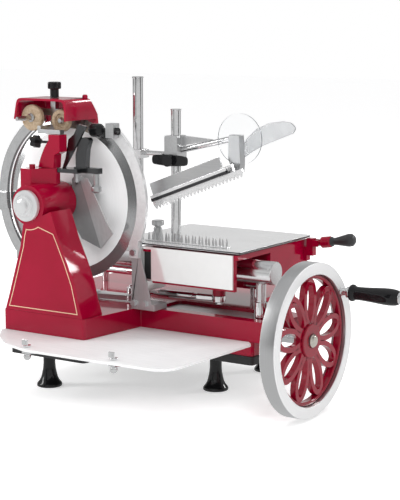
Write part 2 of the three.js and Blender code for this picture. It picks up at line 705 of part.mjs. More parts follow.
function addGuard() {
  const inner = bladeRadius + guardGap;
  const outer = inner + guardWidth;
  const centre = [bladeX, bladeZ];
  const arc = (range, from, to, y0, y1, steps) =>
    slab('xz', arcBand(centre, from, to, range[0], range[1], steps), y0, y1);
  const [x0, x1] = bracketX;
  const lug = cut(box(x0, x1, guardFront, guardRear, ...lugZ),
    bar('y', inner, guardFront - 1, guardRear + 1, bladeX, bladeZ, 60));
  const strapLeft = guardTopEnd[0] - 6;
  const strapRight = strapLeft + 18;
  const strap = box(strapLeft, strapRight, guardFront - 17, guardFront + 1, guardKnobZ - 12, guardKnobZ + 14);
  const strapHole = bar('x', 3.6, strapLeft - 2, strapRight + 2, guardKnobY, guardKnobZ, 12);
  const rightArc = arc(guardRightArc, inner, outer, guardFront, guardRear, 26);
  piece('guard_ring_right', cut(join(rightArc, lug, strap, hexHead('y', 6, guardFront - 5, guardFront + 1, x0 + 10, lugZ[0] + 10)),
    strapHole), 'steel');

  const pierFace = guideLeft - 2 - seatGap * 2;
  const holderLeft = Math.min(guardRearEnd[0], pierFace) - 6;
  const holderTop = guardRearEnd[1] + 4;
  const holder = join(box(holderLeft, pierFace, guardFront, 14, guideZ - 12, holderTop),
    box(holderLeft, Math.max(guardRearEnd[0] + 4, pierFace), guardFront, guardRear, guideZ - 12, holderTop));
  const clip = arc([179, 191], inner - 6, outer + 4, guardFront - 9, guardFront + 1, 4);
  piece('guard_ring_left', join(arc(guardLeftArc, inner, outer, guardFront, guardRear, 28), holder, clip), 'steel');

  const y0 = guardRear + seatGap;
  const plate = box(x0, x1 + 2, y0, y0 + bracketThickness, deckTop + seatGap, lugZ[1] - 2);
  const gusset = slab('xz', [[x1 + 1, lugZ[0]], [x1 + 24, deckTop + 11], [x1 + 1, deckTop + 11]], y0,
    y0 + bracketThickness);
  const shoe = box(x0, x1 + 30, y0, baseFront + 17, deckTop + seatGap, deckTop + 12);
  const bolts = [x0 + 6, x1 + 10].map((x) => hexHead('y', 6, y0 - 6, y0 + 1, x, deckTop + 12));
  piece('guard_bracket', join(plate, gusset, shoe, ...bolts), 'chrome');

  const spin = (profile, x) => turned('x', profile, [x, guardKnobY, guardKnobZ], 16);
  const knob = join(
    spin([[0, 0], [10, 0], [12.5, 4], [12.5, 20], [10, 24], [6, 28], [0, 28]], strapLeft - 37),
    spin([[0, 0], [3, 0], [3, 34], [0, 34]], strapLeft - 11),
    spin([[0, 0], [7, 0], [7, 6], [0, 6]], strapRight + seatGap));
  piece('guard_knob', knob, 'black');
}

// A leaf that slopes away in -Y from a fold line in the XZ plane
function sloped(solid, from, to, slope) {
  const along = new THREE.Vector2(to[0] - from[0], to[1] - from[1]).normalize();
  const across = [-along.y, along.x];
  const matrix = new THREE.Matrix4().set(
    1, 0, 0, 0,
    slope * across[0], 1, slope * across[1], -slope * (across[0] * from[0] + across[1] * from[1]),
    0, 0, 1, 0,
    0, 0, 0, 1);
  return solid.transform(matrix.elements);
}

function addDeflector() {
  const y0 = deflectorY;
  const y1 = deflectorY + deflectorThickness;
  const foldTop = [-160, 406];
  const foldLow = [-112, 277];
  const leftLeaf = slab('xz', [foldTop, [-164, 413], [-176, 400], [-176, 342], [-172, 315], [-155, 292], foldLow]
    .reverse(), y0, y1);
  const rightLeaf = slab('xz', [foldTop, foldLow, [-78, 308], [-93, 327], [-115, 365], [-137, 404]], y0, y1);
  const [hingeX, hingeY] = deflectorHinge;
  const barrel = bar('z', 5, 396, 414, hingeX, hingeY, 16);
  const hinge = join(barrel, box(hingeX - 4, hingeX + 4, hingeY, y1 - 0.5, 398, 409));
  const bore = bar('z', 2.5 + runGap, 390, 420, hingeX, hingeY, 12);
  const folded = sloped(rightLeaf, foldLow, foldTop, 0.22);
  piece('slice_deflector', cut(join(leftLeaf, folded, hinge), bore), 'steel');

  const shelf = deflectorTop + seatGap;
  const rearFace = hingeY - 8;
  const arm = join(
    box(towerHead.wide + seatGap, hingeX + 20, towerHead.y1 - 12, hingeY + 5, shelf, shelf + 7.5),
    bar('z', 2.5, 392, shelf + 1, hingeX, hingeY, 12),
    box(hingeX, deflectorKnobX + 9, rearFace, rearFace + 12, shelf, shelf + 10),
    slab('xz', [[-156, shelf], [-133, shelf], [-132, 436], [-130, 456], [-124, 474], [-128, 478], [-142, 478],
      [-150, 466], [-155, 448]], rearFace, rearFace + 12),
    slab('xz', [[-183, shelf], [-158, 452], [-128, 499], [-146, 502], [-156, 484], [-169, 474], [-176, 440],
      [-186, shelf + 2]], rearFace - 3, rearFace + 1));
  piece('deflector_bracket', arm, 'black');
  piece('deflector_knob', join(
    turned('z', [[0, 0], [7, 0], [9.5, 3], [9.5, 10], [7, 13], [0, 13]], [deflectorKnobX, rearFace + 6, 380], 18),
    bar('z', 5.5, 392, shelf - seatGap, deflectorKnobX, rearFace + 6, 14)), 'black');
}

function addSharpener() {
  const b = armBlock;
  const base = towerHead.z1 + seatGap;
  const knobZ = b.top - 15;
  const knobY = (b.y0 + b.y1) / 2;
  const goose = slab('xz', [
    [b.x0 - 24, base], [b.x0 + 11, base], [b.x0 + 13, base + 24], [b.x1, base + 30], [b.x1, b.top], [b.x0, b.top],
    [b.x0, b.top - 11], [b.x0 - 9, b.top - 23], [b.x0 - 17, b.top - 39], [b.x0 - 22, base + 10],
  ], b.y0, b.y1);
  const stemHole = bar('x', 2.5 + runGap, b.x0 - 12, b.x0 + 10, knobY, knobZ, 12);
  piece('sharpener_arm', cut(goose, stemHole), 'red');
  const lobes = [0, 1, 2, 3, 4].map((i) => bar('x', 4.6, b.x0 - 44, b.x0 - 32,
    knobY + 7.4 * Math.cos(degrees(72 * i)), knobZ + 7.4 * Math.sin(degrees(72 * i)), 12));
  piece('lobed_knob', join(bar('x', 8.6, b.x0 - 44, b.x0 - 32, knobY, knobZ, 20),
    bar('x', 2.5, b.x0 - 33, b.x0 + 8, knobY, knobZ, 12), ...lobes), 'black');

  const [hx0, hx1] = hoodX;
  const [hy0, hy1] = hoodY;
  const lipZ = hoodBottom - hoodLip;
  const outline = slab('yz', [[hy0, hoodBottom], [hy1 - 9, hoodBottom], [hy1 - 7, lipZ], [hy1, lipZ],
    [hy1 - 3, hoodBottom + 8], [hy1 - 24, hoodTop], [hy0, hoodTop]], hx0, hx1);
  const hollow = slab('yz', [[hy0 - 3, lipZ - 1], [hy1 - hoodWall, lipZ - 1], [hy1 - hoodWall - 3, hoodBottom + 7],
    [hy1 - hoodWall - 22, hoodTop - hoodWall], [hy0 - 3, hoodTop - hoodWall]], hx0 + hoodWall, hx1 - hoodWall);
  const arch = (grow) => slab('xz', rounded([
    [hx0 + grow - 4, lipZ - 10, 0], [hx1 - grow + 4, lipZ - 10, 0],
    [hx1 - grow - 2, hoodTop - grow, 10], [hx0 + grow + 8, hoodTop - grow, 12],
  ]), hy0 - 5, hy1 + 5);
  const button = turned('z', [[0, -1], [5, -1], [5, 4], [3, 6], [0, 6]], [hx1 - 8, hy1 - 30, hoodTop], 14);
  piece('sharpener_hood', join(cut(outline.intersect(arch(0)), hollow.intersect(arch(hoodWall))), button), 'red');

  const front = frontStone;
  const rear = rearStone;
  const innerTop = hoodTop - hoodWall - seatGap;
  const spine = rear.x - rear.radius - 10.4;
  const bridgeY = [rear.y1 + 1, rear.y1 + 13];
  const seat = b.top + seatGap;
  const hole = ({ x, z }, from, to) => bar('y', stoneSpindle + runGap, from, to, x, z, 14);
  const body = join(
    box(spine, b.x1 - 2, b.y0 + 5, b.y1 - 5, seat, seat + 8),
    box(spine, spine + 8, b.y0 + 5, bridgeY[1], seat, seat + 14),
    box(spine, spine + 11, ...bridgeY, seat, innerTop),
    box(front.x - 8, rear.x + 8, ...bridgeY, front.z + 4, front.z + 16),
    box(front.x - 7, front.x + 7, front.y1 + 2.5, bridgeY[1], front.z - 8, front.z + 8),
    box(rear.x - 7, rear.x + 7, rear.y1 + 1.5, bridgeY[1], rear.z - 7, front.z + 6));
  piece('sharpener_body', cut(body, hole(front, front.y1, bridgeY[1] - 4), hole(rear, rear.y1, bridgeY[1] + 5)),
    'aluminium');
  const disc = ({ x, y0, y1, z, radius }, extra) => turned('y', [[0, 0], [radius - 1.5, 0], [radius, -1.5],
    [radius, y0 - y1 + 1.5], [radius - 1.5, y0 - y1], ...extra.map(([r, h]) => [r, y0 - y1 + h])], [x, y1, z], 28);
  piece('stone_front', join(
    disc(front, [[8, 0], [8, -3], [5, -5], [4.4, -28], [3.4, -30], [3.4, -41], [0, -41]]),
    bar('y', stoneSpindle, front.y1 - 1, bridgeY[1] - 6, front.x, front.z, 14)), 'stone');
  piece('stone_rear', join(
    disc(rear, [[13, 0], [12, 5], [6, 5], [6, 2], [4.4, -1], [0, -1]]),
    bar('y', stoneSpindle, rear.y1 - 1, bridgeY[1] + 1, rear.x, rear.z, 14)), 'stone');

  const knobAt = [-218, -76];
  piece('sharpener_top_knob', join(
    bar('z', 8, hoodTop + seatGap, hoodTop + 17, ...knobAt, 18),
    turned('z', [[0, 0], [11, 0], [12.5, 2], [12.5, 11], [11, 13], [0, 13]], [...knobAt, hoodTop + 16], 24)), 'black');
}

function addPlate() {
  const bottom = plateTop - plateThickness;
  const slip = bottom - 3 + seatGap;
  const plate = join(
    slab('xy', rounded([[plateLeft, plateFront, 4], [plateRight, plateFront, 4], [plateRight, plateRear, 8],
      [plateLeft, plateRear, 8]]), bottom, plateTop),
    box(-40, -22, -20, 120, slip, bottom + 1),
    box(132, 150, -20, 120, slip, bottom + 1));
  piece('food_plate', plate, 'steel');
  piece('feed_screw', join(
    bar('y', feedScrewRadius, panelFront + 12, carriageRear + 10, feedScrewX, feedScrewZ, 12),
    turned('y', [[0, 0], [7, 0], [8, 2], [8, 14], [7, 16], [0, 16]], [feedScrewX, carriageRear + 4, feedScrewZ], 16)),
  'satin');
  const seat = plateTop + seatGap;
  const post = (name, x, radius, top) => piece(name, join(
    bar('z', radius, seat, top - 2, x, postY, 24),
    turned('z', [[0, 0], [radius + 1, 0], [radius + 1, 2], [0, 2]], [x, postY, top - 2], 24)), 'chrome');
  post('post_left', leftPostX, leftPostRadius, leftPostTop);
  post('post_right', rightPostX, rightPostRadius, rightPostTop);
  piece('plate_stud', turned('z', [[0, 0], [8, 0], [8, 21], [6, 22], [6, 24], [11.5, 26], [11.5, 34], [10, 35],
    [0, 35]], [-47, 7, seat], 20), 'satin');
  let spikes = box(-58, 120, -20, -6, seat, seat + 2);
  for (let i = 0; i < 12; i += 1) {
    const x = -50 + i * 14.5;
    for (const [shift, y] of [[0, -16.5], [4, -9.5]]) {
      spikes = join(spikes, turned('z', [[0, 0], [1.8, 0], [0, 15]], [x + shift, y, seat + 1.5], 5));
    }
  }
  piece('spike_bar', spikes, 'steel');
}

function addPress() {
  const px = rightPostX;
  const { halfX, front, rear, down, up } = pressBlock;
  const y0 = postY - front;
  const y1 = postY + rear;
  const block = join(
    slab('xz', rounded([[px - halfX, pressZ - down, 4], [px + halfX, pressZ - down, 4], [px + halfX, pressZ + up, 4],
      [px - halfX, pressZ + up, 4]]), y0, y1),
    slab('xz', [[px + halfX - 1, pressZ + 9], [px + halfX + 66, pressZ + 20.5], [px + halfX + 64, pressZ + 23],
      [px + halfX - 1, pressZ + up]], postY - 3, postY + 3));
  const bore = bar('z', rightPostRadius + slideGap, pressZ - 60, pressZ + 60, px, postY, 24);
  const armStart = px + halfX + seatGap;
  const slope = (armEndZ - armStartZ) / (armEndX - armStart);
  const rod = strut([armStart - 20, postY, armStartZ - 20 * slope], [armEndX + 20, postY, armEndZ + 20 * slope],
    armRadius, 12);
  const rodSeat = strut([armStart - 20, postY, armStartZ - 20 * slope], [armEndX + 20, postY, armEndZ + 20 * slope],
    armRadius + seatGap, 12);
  const bracket = slab('xz', bracketOutline, ...bracketDepth);
  piece('press_block', cut(block, bore, rodSeat.subtract(box(px - 60, armStart - seatGap, -60, 60, 300, 600))),
    'aluminium');
  const rodEnds = [box(armStart - 60, armStart, -60, 60, 300, 600),
    box(bracketOutline[0][0] - seatGap, armEndX + 90, -60, 60, 300, 600)];
  piece('press_arm', cut(rod, ...rodEnds), 'steel');

  const knobY = y0 - seatGap;
  const knobZ = pressZ - 17;
  const wingRear = combRear + runGap * 2;
  piece('wing_knob', join(
    bar('y', 11, knobY - 12, knobY, px, knobZ, 18),
    slab('xz', rounded([[px - 38, knobZ - 8, 7], [px - 12, knobZ - 10, 3], [px + 12, knobZ - 10, 3],
      [px + 38, knobZ - 8, 7], [px + 38, knobZ + 8, 7], [px + 12, knobZ + 10, 3], [px - 12, knobZ + 10, 3],
      [px - 38, knobZ + 8, 7]]), wingRear, knobY - 0.2)), 'black');

  const clampZ = pressZ - 10;
  const clamp = join(
    box(leftPostX - 15, leftPostX + 15, postY - 14, postY + 14, clampZ - 8, clampZ + 8),
    bar('x', 4.5, leftPostX + 14, px - halfX - seatGap, postY, clampZ + 2, 14));
  piece('post_clamp', cut(clamp, bar('z', leftPostRadius + slideGap, clampZ - 20, clampZ + 20, leftPostX, postY, 24)),
    'steel');

  const [pivotX, pivotZ] = pressPivot;
  const pivot = bar('y', 3, combFront + 2, bracketDepth[0] + 1, pivotX, pivotZ, 12);
  piece('press_bracket', join(bracket, pivot), 'clear');
  const discRear = bracketDepth[0] - seatGap;
  piece('hand_guard', bar('y', handDiscRadius, discRear - discThickness, discRear, handDiscCentre[0],
    handDiscCentre[1], 32), 'clear');
  const leafFront = bracketDepth[1] + seatGap;
  const leaf = rounded([[131, 446, 3], [150, 459, 10], [175, 472, 20], [206, 484, 20], [231, 494, 10], [240, 504, 8],
    [227, 513, 10], [210, 515, 14], [185, 511, 16], [160, 500, 16], [140, 482, 12], [126, 462, 8]]);
  piece('paddle_handle', slab('xz', leaf, leafFront, leafFront + 3.5), 'clear');

  // The comb is drawn level with its pivot at the origin, then swung to its slope
  const matrix = new THREE.Matrix4().makeTranslation(pivotX, 0, pivotZ)
    .multiply(new THREE.Matrix4().makeRotationY(-degrees(pressAngle)));
  const rise = -11;
  const web = box(-pressRun, -16, combRear - 3, combRear, rise + 13, rise + 39);
  const ledge = box(-pressRun, -4, combFront, combRear, rise + 13, rise + 16);
  const lip = box(-pressRun, -4, combFront, combFront + 2.5, rise + 5, rise + 16);
  const lug = box(-20, 6, combRear - 6, combRear, -6, 8);
  const hole = bar('y', 3 + runGap, -60, 20, 0, 0, 12);
  piece('press_plate', cut(join(web, ledge, lip, lug), hole).transform(matrix.elements), 'steel');
  const tip = 26;
  const under = rise + 13 - seatGap;
  const teeth = [[-20, rise + 5 - seatGap], [-20, under], [-pressRun, under], [-pressRun, rise - 2]];
  for (let x = -pressRun; x < tip - toothPitch; x += toothPitch) {
    teeth.push([x + toothPitch / 2, rise - 10], [x + toothPitch, rise - 2]);
  }
  teeth.push([tip, rise - 2], [tip, rise + 5 - seatGap]);
  piece('press_teeth', slab('xz', teeth, combFront + 3, combRear - 6 - seatGap).transform(matrix.elements), 'darkSteel');
}

function addLever() {
  const tilt = new THREE.Matrix4().makeTranslation(leverX, leverY, leverZ)
    .multiply(new THREE.Matrix4().makeRotationY(-degrees(leverTilt)));
  const level = (solid) => solid.transform(tilt.elements);
  const eye = bar('y', 4.4, -4.4, 4.4, 0, 0);
  const neck = bar('x', 3.5, 0, 11, 0, 0, 12);
  const socket = turned('x', [[0, 9.5], [8, 9.5], [10.5, 12], [10.5, 29], [9, 31], [0, 31]], [0, 0, 0], 18);
  const stem = bar('x', 3, 29, 64, 0, 0, 12);
  const pinHole = bar('y', leverPin + runGap, -6, 6, 0, 0, 12);
  piece('feed_lever', level(cut(join(eye, neck, socket, stem), pinHole)), 'red');
  const grip = turned('x', [[0, 0], [9, 0], [9, 2], [6.5, 4], [7, 10], [10, 26], [12, 36], [11.5, 43], [8, 47], [0, 48]],
    [31 + seatGap, 0, 0], 22);
  piece('lever_grip', level(cut(grip, bar('x', 3 + seatGap, 20, 65, 0, 0, 12))), 'black');
}

function addWheel() {
  const rear = wheelFace - wheelWidth;
  const at = [0, wheelY, wheelZ];
  const rimSolid = turned('x', [[0, rear], [wheelRadius - 2, rear], [wheelRadius, rear + 2],
    [wheelRadius, wheelFace - 2], [wheelRadius - 2, wheelFace], [0, wheelFace]], at, 54);
  piece('wheel_rim', cut(rimSolid, bar('x', rimInner, rear - 1, wheelFace + 1, wheelY, wheelZ, 54)), 'satin');

  const s0 = rear + 9;
  const s1 = wheelFace - 8;
  const ringOuter = rimInner - seatGap * 2;
  let spider = cut(bar('x', ringOuter, s0, s1, wheelY, wheelZ, 45),
    bar('x', ringOuter - spokeRingWidth, s0 - 1, s1 + 1, wheelY, wheelZ, 45));
  spider = join(spider, bar('x', hubRadius, rear + 4, wheelFace - 4, wheelY, wheelZ, 27));
  const loop = (longHalf, wideHalf, count, centre) => {
    const out = [];
    for (let i = 0; i < count; i += 1) {
      const a = (2 * Math.PI * i) / count;
      const egg = 1 + 0.12 * Math.sin(a);
      out.push([wideHalf * Math.cos(a) * egg, centre + longHalf * Math.sin(a)]);
    }
    return out;
  };
  const centre = 66;
  const long = 43;
  const wide = 21;
  for (let i = 0; i < petalCount; i += 1) {
    const petal = slab('yz', loop(long, wide, 14, centre), s0 + 1, s1 - 1,
      [loop(long - 2 * petalTube, wide - 2 * petalTube, 12, centre)]);
    const matrix = new THREE.Matrix4().makeTranslation(0, wheelY, wheelZ)
      .multiply(new THREE.Matrix4().makeRotationX((2 * Math.PI * i) / petalCount));
    spider = join(spider, petal.transform(matrix.elements));
  }
  piece('wheel_spider', cut(spider, bar('x', mainShaftRadius + seatGap, rear, wheelFace - 7, wheelY, wheelZ, 24)),
  'red');
  piece('hub_cap', turned('x', [[0, 0], [12, 0], [12, 2], [9, 5], [0, 6.5]], [wheelFace - 4 + seatGap, wheelY, wheelZ], 24),
    'chrome');

  const y = wheelY + handleRadius * Math.cos(degrees(handleAngle));
  const z = wheelZ + handleRadius * Math.sin(degrees(handleAngle));
  const x0 = wheelFace + seatGap;
  const x1 = x0 + 19;
  const x2 = x1 + seatGap + gripLength;
  const spin = (profile, x, sides = 20) => turned('x', profile, [x, y, z], sides);
  piece('handle_spindle', join(
    spin([[0, 0], [8, 0], [8, 2], [6.5, 11], [0, 11]], x0),
    spin([[0, 0], [9, 0], [10, 2], [10, 6], [9, 8], [0, 8]], x0 + 11),
    spin([[0, 0], [spindleRadius, 0], [spindleRadius, gripLength + 2], [0, gripLength + 2]], x1 - 1),
    spin([[0, 0], [10.5, 0], [10.5, 4], [8.5, 6], [0, 6]], x2 + seatGap)), 'chrome');
  const grip = spin([[0, 0], [12, 0], [gripRadius, 2], [gripRadius, 6], [12.5, 9], [12, 16], [13, 38],
    [gripRadius, 66], [gripRadius, 80], [13, 90], [11, gripLength], [0, gripLength]], x1 + seatGap, 28);
  piece('handle_grip', cut(grip, bar('x', spindleRadius + runGap, x1 - 5, x2 + 5, y, z, 20)), 'black');
}

slicer.name = 'hand_crank_meat_slicer';
slicer.position.set(-middleX, -middleY, 0);
addBase();
addTray();
addTower();
addDrive();
addGuideRods();
addCarriage(addCrank());
addGuard();
addDeflector();
addSharpener();
addPlate();
addPress();
addLever();
addWheel();

export default slicer;
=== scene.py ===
import json
import math

import bmesh
import bpy
from mathutils import Matrix, Vector

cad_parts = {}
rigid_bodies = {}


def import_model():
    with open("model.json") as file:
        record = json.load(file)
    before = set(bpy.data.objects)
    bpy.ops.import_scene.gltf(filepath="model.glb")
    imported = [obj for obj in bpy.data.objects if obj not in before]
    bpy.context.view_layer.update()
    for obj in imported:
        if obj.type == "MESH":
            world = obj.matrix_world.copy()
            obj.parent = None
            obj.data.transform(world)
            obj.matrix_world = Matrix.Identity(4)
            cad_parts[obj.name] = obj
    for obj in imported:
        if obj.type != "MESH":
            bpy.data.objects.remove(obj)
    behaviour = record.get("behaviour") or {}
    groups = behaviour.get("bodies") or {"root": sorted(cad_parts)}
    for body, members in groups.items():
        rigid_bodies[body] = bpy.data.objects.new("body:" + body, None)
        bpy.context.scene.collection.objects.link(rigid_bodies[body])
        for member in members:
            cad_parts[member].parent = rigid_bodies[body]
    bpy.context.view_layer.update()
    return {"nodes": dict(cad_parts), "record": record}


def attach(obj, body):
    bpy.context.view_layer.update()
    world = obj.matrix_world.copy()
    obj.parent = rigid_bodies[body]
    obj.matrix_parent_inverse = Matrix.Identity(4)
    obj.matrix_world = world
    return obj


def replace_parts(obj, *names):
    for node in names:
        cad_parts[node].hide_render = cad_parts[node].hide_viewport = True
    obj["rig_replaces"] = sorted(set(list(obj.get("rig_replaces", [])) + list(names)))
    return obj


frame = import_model()
nodeOf = frame["nodes"]
bodies = frame["record"]["behaviour"]["bodies"]
bodyOf = {node: body for body, names in bodies.items() for node in names}
slotOf = {row["node"]: row["material_slot"] for row in frame["record"]["subparts"]}

# The plan was drawn in millimetres from the blade side; the frame starts at the footprint's middle
planMiddle = Vector((17.7, 5.5, 0.0))


def place(x, y, z):
    return (Vector((x, y, z)) - planMiddle) * 0.001


def feed(links, value, socket):
    # A socket is linked, a plain value is set
    if isinstance(value, bpy.types.NodeSocket):
        links.new(value, socket)
    else:
        socket.default_value = value


def nodeGroup(name, inputs, outputs):
    group = bpy.data.node_groups.new(name, "ShaderNodeTree")
    for label, kind, value in inputs:
        socket = group.interface.new_socket(name=label, in_out="INPUT", socket_type=kind)
        if value is not None:
            socket.default_value = value
    for label, kind in outputs:
        group.interface.new_socket(name=label, in_out="OUTPUT", socket_type=kind)
    source = group.nodes.new("NodeGroupInput")
    sink = group.nodes.new("NodeGroupOutput")
    return group, source, sink


def noiseNode(nodes, links, vector, scale, detail=4.0, roughness=0.55):
    node = nodes.new("ShaderNodeTexNoise")
    node.inputs["Detail"].default_value = detail
    node.inputs["Roughness"].default_value = roughness
    links.new(vector, node.inputs["Vector"])
    feed(links, scale, node.inputs["Scale"])
    return node.outputs["Fac"]


def addBump(nodes, links, height, distance, strength):
    bump = nodes.new("ShaderNodeBump")
    bump.inputs["Distance"].default_value = distance
    feed(links, strength, bump.inputs["Strength"])
    links.new(height, bump.inputs["Height"])
    return bump.outputs["Normal"]


def makeSmudge():
    # Slow patches of handling and polish that shift the roughness
    group, source, sink = nodeGroup("handling", [
        ("Vector", "NodeSocketVector", None), ("Scale", "NodeSocketFloat", 9.0),
        ("Low", "NodeSocketFloat", 0.1), ("High", "NodeSocketFloat", 0.3)],
        [("Roughness", "NodeSocketFloat"), ("Mask", "NodeSocketFloat")])
    nodes, links = group.nodes, group.links
    fac = noiseNode(nodes, links, source.outputs["Vector"], source.outputs["Scale"], 5.0, 0.6)
    ramp = nodes.new("ShaderNodeMapRange")
    ramp.inputs["From Min"].default_value = 0.3
    ramp.inputs["From Max"].default_value = 0.72
    links.new(fac, ramp.inputs["Value"])
    links.new(source.outputs["Low"], ramp.inputs["To Min"])
    links.new(source.outputs["High"], ramp.inputs["To Max"])
    links.new(ramp.outputs["Result"], sink.inputs["Roughness"])
    links.new(fac, sink.inputs["Mask"])
    return group


def makeGrain():
    # Fine lines along one direction: the vector is squeezed before the noise
    group, source, sink = nodeGroup("brushedGrain", [
        ("Vector", "NodeSocketVector", None), ("Along", "NodeSocketVector", (1.0, 1.0, 1.0)),
        ("Depth", "NodeSocketFloat", 0.1)],
        [("Lines", "NodeSocketFloat"), ("Normal", "NodeSocketVector")])
    nodes, links = group.nodes, group.links
    squeeze = nodes.new("ShaderNodeVectorMath")
    squeeze.operation = "MULTIPLY"
    links.new(source.outputs["Vector"], squeeze.inputs[0])
    links.new(source.outputs["Along"], squeeze.inputs[1])
    fac = noiseNode(nodes, links, squeeze.outputs[0], 1.0, 3.0, 0.6)
    normal = addBump(nodes, links, fac, 0.00025, source.outputs["Depth"])
    links.new(fac, sink.inputs["Lines"])
    links.new(normal, sink.inputs["Normal"])
    return group


def makeRings():
    # Turning marks around the Z axis of the vector it is given
    group, source, sink = nodeGroup("turningMarks", [
        ("Vector", "NodeSocketVector", None), ("Scale", "NodeSocketFloat", 900.0),
        ("Depth", "NodeSocketFloat", 0.1)],
        [("Rings", "NodeSocketFloat"), ("Normal", "NodeSocketVector")])
    nodes, links = group.nodes, group.links
    split = nodes.new("ShaderNodeSeparateXYZ")
    links.new(source.outputs["Vector"], split.inputs[0])
    flat = nodes.new("ShaderNodeCombineXYZ")
    links.new(split.outputs[0], flat.inputs[0])
    links.new(split.outputs[1], flat.inputs[1])
    size = nodes.new("ShaderNodeVectorMath")
    size.operation = "LENGTH"
    links.new(flat.outputs[0], size.inputs[0])
    line = nodes.new("ShaderNodeCombineXYZ")
    links.new(size.outputs["Value"], line.inputs[0])
    fac = noiseNode(nodes, links, line.outputs[0], source.outputs["Scale"], 2.0, 0.7)
    normal = addBump(nodes, links, fac, 0.0003, source.outputs["Depth"])
    links.new(fac, sink.inputs["Rings"])
    links.new(normal, sink.inputs["Normal"])
    return group


def makePeel():
    # The slight ripple of sprayed and baked paint
    group, source, sink = nodeGroup("paintRipple", [
        ("Vector", "NodeSocketVector", None), ("Scale", "NodeSocketFloat", 260.0),
        ("Depth", "NodeSocketFloat", 0.08)],
        [("Normal", "NodeSocketVector"), ("Mask", "NodeSocketFloat")])
    nodes, links = group.nodes, group.links
    fac = noiseNode(nodes, links, source.outputs["Vector"], source.outputs["Scale"], 2.0, 0.4)
    normal = addBump(nodes, links, fac, 0.0004, source.outputs["Depth"])
    links.new(normal, sink.inputs["Normal"])
    links.new(fac, sink.inputs["Mask"])
    return group


handling = makeSmudge()
brushedGrain = makeGrain()
turningMarks = makeRings()
paintRipple = makePeel()

finishes = {
    "enamelRed": {"colour": (0.33, 0.0006, 0.026), "shade": (0.26, 0.0005, 0.018), "low": 0.08,
                  "high": 0.14, "coat": 0.2, "gloss": 0.28, "ripple": 0.012},
    "spiderRed": {"colour": (0.24, 0.0006, 0.016), "shade": (0.19, 0.0005, 0.012), "low": 0.06,
                  "high": 0.1, "coat": 0.4, "gloss": 0.4, "ripple": 0.012},
    "polishedSteel": {"colour": (0.82, 0.82, 0.825), "low": 0.06, "high": 0.13,
                      "grain": (30, 900, 900), "depth": 0.03},
    "satinSteel": {"colour": (0.6, 0.605, 0.61), "low": 0.24, "high": 0.36,
                   "grain": (40, 700, 700), "depth": 0.1},
    "brushedTray": {"colour": (0.84, 0.84, 0.845), "low": 0.44, "high": 0.52,
                    "grain": (25, 600, 600), "depth": 0.05, "metal": 0.05},
    "brushedPlate": {"colour": (0.9, 0.9, 0.905), "low": 0.16, "high": 0.24,
                     "grain": (25, 800, 800), "depth": 0.03, "metal": 0.7},
    "guideSteel": {"colour": (0.86, 0.865, 0.87), "low": 0.16, "high": 0.24,
                   "grain": (25, 900, 900), "depth": 0.04},
    "panelSteel": {"colour": (0.92, 0.92, 0.915), "low": 0.06, "high": 0.12, "grain": (60, 60, 60),
                   "depth": 0.002, "metal": 0.45, "streak": 0.97},
    "bladeSteel": {"colour": (0.95, 0.95, 0.955), "low": 0.3, "high": 0.38, "metal": 0.0},
    "bevelSteel": {"colour": (0.56, 0.565, 0.57), "low": 0.16, "high": 0.24, "metal": 0.9},
    "rimFace": {"colour": (0.84, 0.84, 0.845), "low": 0.3, "high": 0.36, "metal": 0.3},
    "capFace": {"colour": (0.8, 0.805, 0.81), "low": 0.16, "high": 0.26, "metal": 0.6},
    "bracketSteel": {"colour": (0.62, 0.625, 0.63), "low": 0.3, "high": 0.42,
                     "grain": (500, 500, 40), "depth": 0.05, "metal": 0.7},
    "ringSteel": {"colour": (0.8, 0.8, 0.805), "low": 0.3, "high": 0.38, "grain": (120, 120, 120),
                  "depth": 0.03, "metal": 0.45},
    "ringBevel": {"colour": (0.36, 0.365, 0.37), "low": 0.2, "high": 0.3, "grain": (120, 120, 120),
                  "depth": 0.03},
    "deflectorSteel": {"colour": (0.6, 0.605, 0.61), "low": 0.34, "high": 0.44,
                       "grain": (40, 700, 60), "depth": 0.06, "metal": 0.55},
    # leafShade: a darker copy of deflectorSteel, painted shade for the deflector's front leaf
    "leafShade": {"colour": (0.3, 0.303, 0.306), "low": 0.3, "high": 0.4, "grain": (40, 700, 60),
                  "depth": 0.06, "metal": 0.35},
    "armSteel": {"colour": (0.11, 0.112, 0.115), "low": 0.16, "high": 0.26,
                 "grain": (300, 300, 60), "depth": 0.05},
    # ringShade: a darker copy of ringSteel, painted shade for the left arc of the guard ring
    "ringShade": {"colour": (0.7, 0.705, 0.71), "low": 0.14, "high": 0.22,
                  "grain": (120, 120, 120), "depth": 0.03},
    "pressSteel": {"colour": (0.68, 0.685, 0.69), "low": 0.26, "high": 0.36,
                   "grain": (20, 700, 700), "depth": 0.06},
    "rimSide": {"colour": (0.66, 0.665, 0.67), "low": 0.26, "high": 0.34, "grain": (1500, 1, 1),
                "depth": 0.06},
    "castAluminium": {"colour": (0.7, 0.705, 0.71), "low": 0.26, "high": 0.38,
                      "grain": (300, 300, 300), "depth": 0.1},
    "brightChrome": {"colour": (0.84, 0.845, 0.85), "low": 0.03, "high": 0.07,
                     "grain": (120, 120, 120), "depth": 0.01},
    "darkSteel": {"colour": (0.09, 0.09, 0.095), "low": 0.3, "high": 0.45, "grain": (60, 500, 500),
                  "depth": 0.15},
    "warmChrome": {"colour": (0.78, 0.74, 0.66), "low": 0.16, "high": 0.24,
                   "grain": (200, 200, 200), "depth": 0.05},
    "blackPlastic": {"colour": (0.008, 0.008, 0.009), "low": 0.08, "high": 0.16, "gloss": 0.4,
                     "ripple": 0.03},
    "greyGrip": {"colour": (0.035, 0.035, 0.037), "low": 0.34, "high": 0.45, "ripple": 0.05},
    "blackPan": {"colour": (0.015, 0.015, 0.016), "low": 0.4, "high": 0.55, "ripple": 0.12},
    "creamLine": {"colour": (0.86, 0.6, 0.4), "low": 0.3, "high": 0.4, "ripple": 0.03},
}


